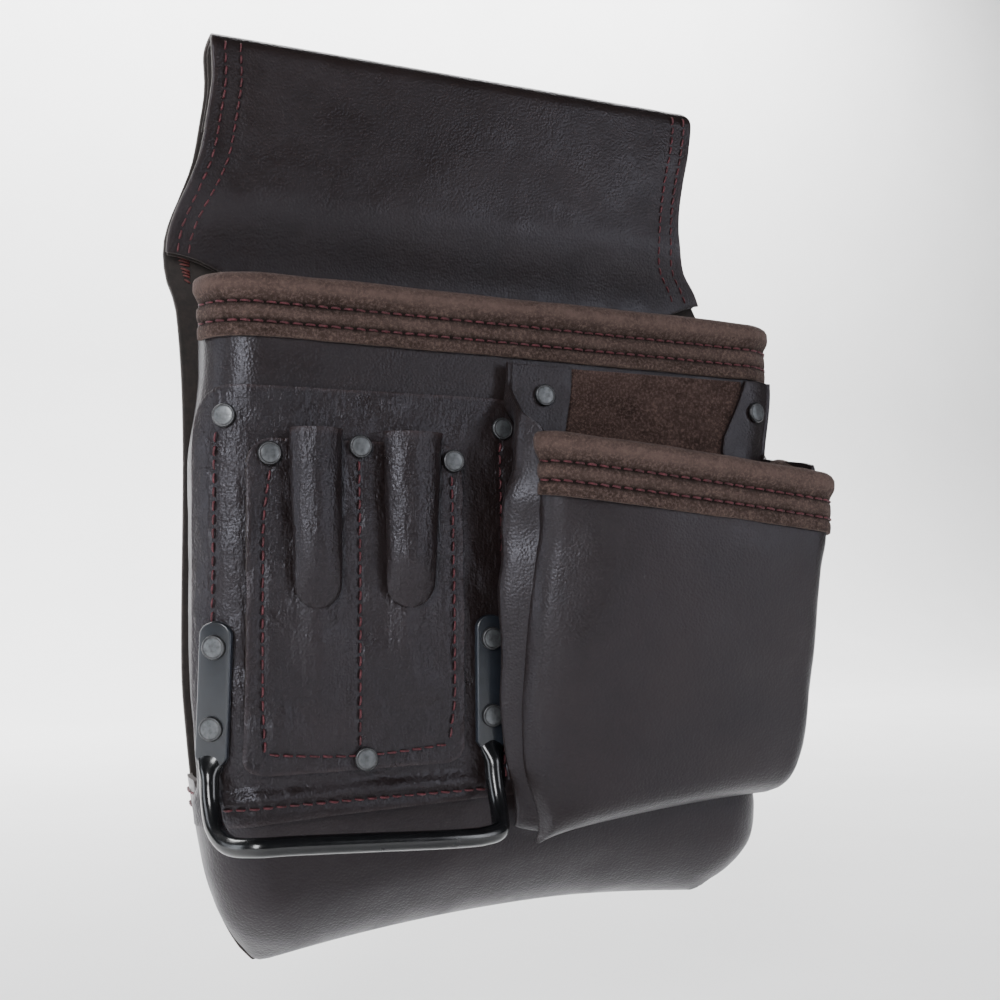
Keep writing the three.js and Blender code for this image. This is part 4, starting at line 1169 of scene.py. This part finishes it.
# ---------------------------------------------------------------- hammer loop
def plate_frame(across):
    """A plate's lower end and its sideways, upward and outward directions."""
    def place(height):
        return on_bag(along_for(across, height), height, PLATE_LIFT)
    low = place(PLATE_SHOULDER)
    up = unit(place(PLATE_TOP) - low)
    middle = (PLATE_TOP + PLATE_SHOULDER) / 2
    sideways = unit(np.cross(up, bag_normal(along_for(across, middle), middle)))
    return low, sideways, up, unit(np.cross(sideways, up))


def rod_points():
    ends = []
    for across in (LOOP_LEFT, LOOP_RIGHT):
        low, _, _, outward = plate_frame(across)
        ends.append(low + outward * (ROD_RADIUS + 0.1))
    a, b = ends
    front = REAR - 73
    low = -263.5
    return np.array([
        (a[0], a[1], PLATE_SHOULDER + 4), (a[0], a[1], -244), (a[0], a[1] - 2, -251.5),
        (a[0] + 0.6, a[1] - 7, -259), (a[0] + 3.5, a[1] - 15, low), (a[0] + 10.5, front + 1, low - 0.3),
        (a[0] + 22, front, low - 0.5), ((a[0] + b[0]) / 2, front, low - 1.9), (b[0] - 22, front, low - 3.3),
        (b[0] - 10.5, front + 1, low - 3.4), (b[0] - 3.5, b[1] - 12, low - 2.2), (b[0] - 0.6, b[1] - 6, -260),
        (b[0], b[1] - 2, -252.5), (b[0], b[1], -244), (b[0], b[1], PLATE_SHOULDER + 4),
    ])


def curve_through(points, samples):
    """A centripetal Catmull-Rom curve through the points."""
    padded = np.concatenate([[2 * points[0] - points[1]], points, [2 * points[-1] - points[-2]]])
    result = []
    for k in range(1, len(padded) - 2):
        p0, p1, p2, p3 = padded[k - 1:k + 3]
        t0 = 0.0
        t1 = t0 + np.linalg.norm(p1 - p0) ** 0.5
        t2 = t1 + np.linalg.norm(p2 - p1) ** 0.5
        t3 = t2 + np.linalg.norm(p3 - p2) ** 0.5
        for t in np.linspace(t1, t2, samples, endpoint=False):
            a1 = mix(p0, p1, (t - t0) / (t1 - t0))
            a2 = mix(p1, p2, (t - t1) / (t2 - t1))
            a3 = mix(p2, p3, (t - t2) / (t3 - t2))
            b1 = mix(a1, a2, (t - t0) / (t2 - t0))
            b2 = mix(a2, a3, (t - t1) / (t3 - t1))
            result.append(mix(b1, b2, (t - t1) / (t2 - t1)))
    result.append(points[-1])
    return np.array(result)


def build_rod():
    """The bent rod; each end flattens over its last few millimetres into the plate above it."""
    sides = 28
    line = curve_through(rod_points(), 9)
    forward = unit(np.gradient(line, axis=0))
    run = np.concatenate([[0], np.cumsum(np.linalg.norm(np.diff(line, axis=0), axis=1))])
    front = np.array([0.0, -1, 0])
    angles = np.arange(sides) * 2 * math.pi / sides
    rings = []
    for point, ahead, start in zip(line, forward, run):
        _, sideways, _, outward = plate_frame(LOOP_LEFT if start < run[-1] / 2 else LOOP_RIGHT)
        aside = unit(np.cross(ahead, front) if abs(ahead[1]) < 0.95 else np.cross(ahead, [0, 0, 1.0]))
        rounded = float(smooth((min(start, run[-1] - start) - 1) / 10))
        aside = unit(mix(sideways * np.sign(aside @ sideways), aside, rounded))
        upward = np.cross(aside, ahead)
        wide, deep = mix(5.2, ROD_RADIUS, rounded), mix(1.45, ROD_RADIUS, rounded)
        centre = point - outward * 2.0 * (1 - rounded)
        rings.append([centre + wide * math.cos(a) * aside + deep * math.sin(a) * upward for a in angles])
    rings = np.array(rings)
    for k in range(1, len(rings)):
        shift = np.argmin([np.linalg.norm(np.roll(rings[k], s, axis=0) - rings[k - 1], axis=1).sum()
                           for s in range(sides)])
        rings[k] = np.roll(rings[k], shift, axis=0)
    return tube("Hammer_loop_rod", rings[:, ::-1], [ROD], ["hammer_loop"])


def build_plate(name, across):
    """A flattened end of the loop: round top, straight sides, and a shoulder that runs into the rod."""
    low, sideways, up, outward = plate_frame(across)
    half, tall = PLATE_WIDTH / 2, PLATE_TOP - PLATE_SHOULDER
    outline = [(-3.4, -4.5), (3.4, -4.5), (3.9, -1.2), (5.2, 0.2), (half, 1.6), (half, tall - 5)]
    outline += [(half * math.cos(a), tall - 5 + 5 * math.sin(a)) for a in np.linspace(0.2, math.pi - 0.2, 11)]
    outline += [(-half, tall - 5), (-half, 1.6), (-5.2, 0.2), (-3.9, -1.2)]
    mesh = bmesh.new()
    points = [low + sideways * x + up * y + outward * 0.05 for x, y in outline]
    face = mesh.faces.new([mesh.verts.new(p * MM) for p in points])
    made = bmesh.ops.extrude_face_region(mesh, geom=[face])
    moved = [v for v in made["geom"] if isinstance(v, bmesh.types.BMVert)]
    bmesh.ops.translate(mesh, vec=Vector(outward * PLATE_THICKNESS * MM), verts=moved)
    bmesh.ops.recalc_face_normals(mesh, faces=mesh.faces)
    data = bpy.data.meshes.new(name)
    mesh.to_mesh(data)
    mesh.free()
    data.materials.append(PLATE)
    piece = bpy.data.objects.new(name, data)
    bpy.context.scene.collection.objects.link(piece)
    eased = piece.modifiers.new("eased", "BEVEL")
    eased.width = 0.7 * MM
    eased.segments = 3
    eased.limit_method = "ANGLE"
    eased.angle_limit = math.radians(40)
    apply_modifiers(piece)
    piece.data.shade_smooth()
    heights = np.array([v.co[:] for v in piece.data.vertices]) / MM - low
    edge = np.clip((np.abs(heights @ sideways) - half + 1.0) / 1.0, 0, 1)
    paint(piece, "wear", 0.6 * edge)
    return finish_piece(piece, ["hammer_loop"])


# ---------------------------------------------------------------- rivets
RIVETS = {
    "outer_patch_left": (-114, -113.5, PATCH_LEATHER + GAP, False),
    "outer_patch_right": (-6.5, -114, PATCH_LEATHER + GAP, False),
    "inner_patch_left": (-98.8, -127.3, POCKET_LIFT, False),
    "inner_patch_centre": (-64.5, -123.6, POCKET_LIFT, False),
    "inner_patch_right": (-27.2, -127.8, POCKET_LIFT, False),
    "inner_patch_bottom": (-62.8, -238.5, POCKET_LIFT, False),
    "loop_left_upper": (LOOP_LEFT, -195.6, PLATE_LIFT + PLATE_THICKNESS, True),
    "loop_left_lower": (LOOP_LEFT, -224.3, PLATE_LIFT + PLATE_THICKNESS, True),
    "loop_right_upper": (LOOP_RIGHT, -195.6, PLATE_LIFT + PLATE_THICKNESS, True),
    "loop_right_lower": (LOOP_RIGHT, -224.8, PLATE_LIFT + PLATE_THICKNESS, True),
    "ear_left": (9, -100, EAR_LIFT + POCKET_LEATHER, False),
    "ear_right": (111.5, -101.5, EAR_LIFT + POCKET_LEATHER, False),
}


def rivet_axis(across, height, on_plate):
    """Where a rivet's axis meets the main bag's outer face, and its outward direction."""
    if on_plate:
        low, _, up, outward = plate_frame(across)
        return low + up * (height - PLATE_SHOULDER) - outward * PLATE_LIFT, outward
    along = along_for(across, height)
    return bag_point(along, height), level(bag_normal(along, height))


def lathe(name, profile, foot, outward, sides, materials, replaced):
    """A turned piece: rows of radius, height and the 'wear' paint value (on rivet caps a painted highlight) about an
    axis.
    """
    aside = unit(np.cross(outward, [0, 0, 1.0]))
    upward = np.cross(aside, outward)
    angles = np.arange(sides) * 2 * math.pi / sides
    rings = []
    for radius, height, _ in profile:
        rings.append([foot + outward * height + radius * (math.cos(a) * aside + math.sin(a) * upward) for a in angles])
    wear = np.repeat(np.array([row[2] for row in profile])[:, None], sides, axis=1)
    return tube(name, rings, materials, replaced, wear=wear)


def build_rivets():
    for name, (across, height, lift, on_plate) in RIVETS.items():
        foot, outward = rivet_axis(across, height, on_plate)
        seat = lift + 0.1
        peen = BURR_TOP - BURR_THICKNESS - GAP
        r, d = RIVET_HEAD, RIVET_DOME
        # the third column paints the cap: a painted highlight on the flat face, fainter on the raised ring, none in
        # the groove or down the rim
        profile = [
            (0.05, peen - 0.8, 0), (RIVET_SHANK + 0.9, peen, 0), (RIVET_SHANK, peen, 0), (RIVET_SHANK, seat, 0),
            (r - 0.2, seat, 0), (r, seat + 0.2, 0), (r, seat + d * 0.5, 0), (r - 0.12, seat + d * 0.78, 0.15),
            (r - 0.45, seat + d * 0.95, 0.45), (r - 0.75, seat + d * 0.93, 0.1), (r - 0.9, seat + d * 0.86, 0),
            (r - 1.1, seat + d * 0.9, 0.7), (r - 1.5, seat + d * 0.95, 1), (r - 3.1, seat + d, 0.85),
            (0.05, seat + d, 0.8),
        ]
        lathe(f"Rivet_{name}", profile, foot, outward, 32, [RIVET], [f"rivet_{name}"])
        low = BURR_TOP - BURR_THICKNESS
        hole = RIVET_SHANK + 0.1
        washer = [(hole, low + 0.15, 0), (hole + 0.15, low, 0.3), (BURR_RADIUS - 0.25, low, 0.5),
                  (BURR_RADIUS, low + 0.25, 0.8), (BURR_RADIUS, BURR_TOP - 0.2, 0.2),
                  (BURR_RADIUS - 0.2, BURR_TOP, 0), (hole, BURR_TOP, 0)]
        lathe(f"Burr_{name}", washer, foot, outward, 24, [RIVET], [f"burr_{name}"])


# ---------------------------------------------------------------- assembly
build_back_panel()
build_lining()
build_main_front()
build_main_gusset(-1, "left")
build_main_gusset(1, "right")
build_boot()
rim_end = float(seam_at(RIM_HEIGHT))
_, rim_rows = build_binding("Main_rim_binding", np.linspace(-rim_end, rim_end, 230), BAG_LEATHER, main_wall,
                            "main_rim_binding", 43)
build_small_back()
build_small_front()
build_small_gusset(-1, "left")
build_small_gusset(1, "right")
small_end = float(small_seam(SMALL_RIM_HEIGHT))
_, small_rim_rows = build_binding("Small_rim_binding", np.linspace(-small_end, small_end + SMALL_RIM_RETURN, 135), POCKET_LEATHER,
                                  small_wall, "small_rim_binding", 47)
build_outer_patch()
build_inner_patch()
for sleeve_name, sleeve_size in SLEEVES.items():
    build_sleeve(sleeve_name, **sleeve_size)
build_rod()
build_plate("Hammer_loop_plate_left", LOOP_LEFT)
build_plate("Hammer_loop_plate_right", LOOP_RIGHT)
build_rivets()

stitches("Stitching_belt_loop", loop_rows(-1) + loop_rows(1) + rear_loop_rows(-1) + rear_loop_rows(1), seed=1)
stitches("Stitching_main_rim", rim_rows, seed=2)
stitches("Stitching_small_rim", small_rim_rows, seed=3)
stitches("Stitching_outer_patch", outer_rows(), seed=4)
stitches("Stitching_inner_patch", inner_rows(), seed=5)
stitches("Stitching_boot", boot_rows(-1) + boot_rows(1), seed=6)
stitches("Stitching_bar_tack", tack_rows(), material=TACK, pitch=6.5, radius=0.4, lift=0.25, seed=7)


# ---------------------------------------------------------------- stage, light and camera
def stage_floor():
    """A plain pale floor that curves up into a backdrop."""
    depth, height, bend = 2.6, 3.0, 0.8
    line = [(-3.0, 0.0), (depth - bend, 0.0)]
    line += [(depth - bend + bend * math.sin(a), bend - bend * math.cos(a)) for a in np.linspace(0.1, 1.57, 12)]
    line += [(depth, height)]
    floor_height = cad_lo[2] - 0.06
    points = [(x, y, floor_height + z) for y, z in line for x in (-4.0, 4.0)]
    mesh = bpy.data.meshes.new("Floor")
    mesh.from_pydata(points, [], [(2 * k, 2 * k + 1, 2 * k + 3, 2 * k + 2) for k in range(len(line) - 1)])
    mesh.shade_smooth()
    n = Nodes("Floor_pale")
    body = n.ramp(n.noise(6, 3), [(0.3, (0.84, 0.84, 0.84)), (0.7, (0.87, 0.87, 0.87))])
    mesh.materials.append(n.set(Base_Color=body, Roughness=0.9))
    floor = bpy.data.objects.new("Floor", mesh)
    bpy.context.scene.collection.objects.link(floor)


def area_light(name, place, aim, size, power, colour):
    data = bpy.data.lights.new(name, "AREA")
    data.shape = "RECTANGLE"
    data.size, data.size_y = size
    data.energy = power
    data.color = colour
    light = bpy.data.objects.new(name, data)
    light.location = place
    light.rotation_euler = (Vector(aim) - Vector(place)).to_track_quat("-Z", "Y").to_euler()
    bpy.context.scene.collection.objects.link(light)


stage_floor()
area_light("Key", (1.0, -1.4, 0.2), (0, 0, -0.13), (0.5, 0.95), 8, (0.92, 0.94, 1.0))
area_light("Left", (-0.9, -1.4, 0.45), (0, 0, -0.14), (0.4, 0.95), 25, (0.97, 0.98, 1.0))
area_light("Side", (-1.5, -0.1, -0.05), (0, 0, -0.15), (0.5, 1.2), 8, (0.88, 0.93, 1.0))
area_light("Backdrop", (0.0, 1.6, 2.0), (0.0, 2.6, 0.3), (5.0, 1.2), 330, (1.0, 1.0, 1.0))

world = bpy.data.worlds.new("World")
bpy.context.scene.world = world
world.use_nodes = True
world.node_tree.nodes["Background"].inputs["Color"].default_value = (0.93, 0.95, 1.0, 1.0)
world.node_tree.nodes["Background"].inputs["Strength"].default_value = 0.07

camera_data = bpy.data.cameras.new("Camera")
camera_data.sensor_width = 36.0
camera_data.lens = 47.16
camera = bpy.data.objects.new("Camera", camera_data)
right = Vector((0.90591, -0.42315, -0.01634))
upward = Vector((-0.02251, -0.08665, 0.99598))
backward = -Vector((0.42287, 0.90191, 0.08803))
turn = Matrix((right, upward, backward)).transposed().to_4x4()
camera.matrix_world = Matrix.Translation(Vector((-0.2230, -0.5070, -0.1871))) @ turn
bpy.context.scene.collection.objects.link(camera)
bpy.context.scene.camera = camera
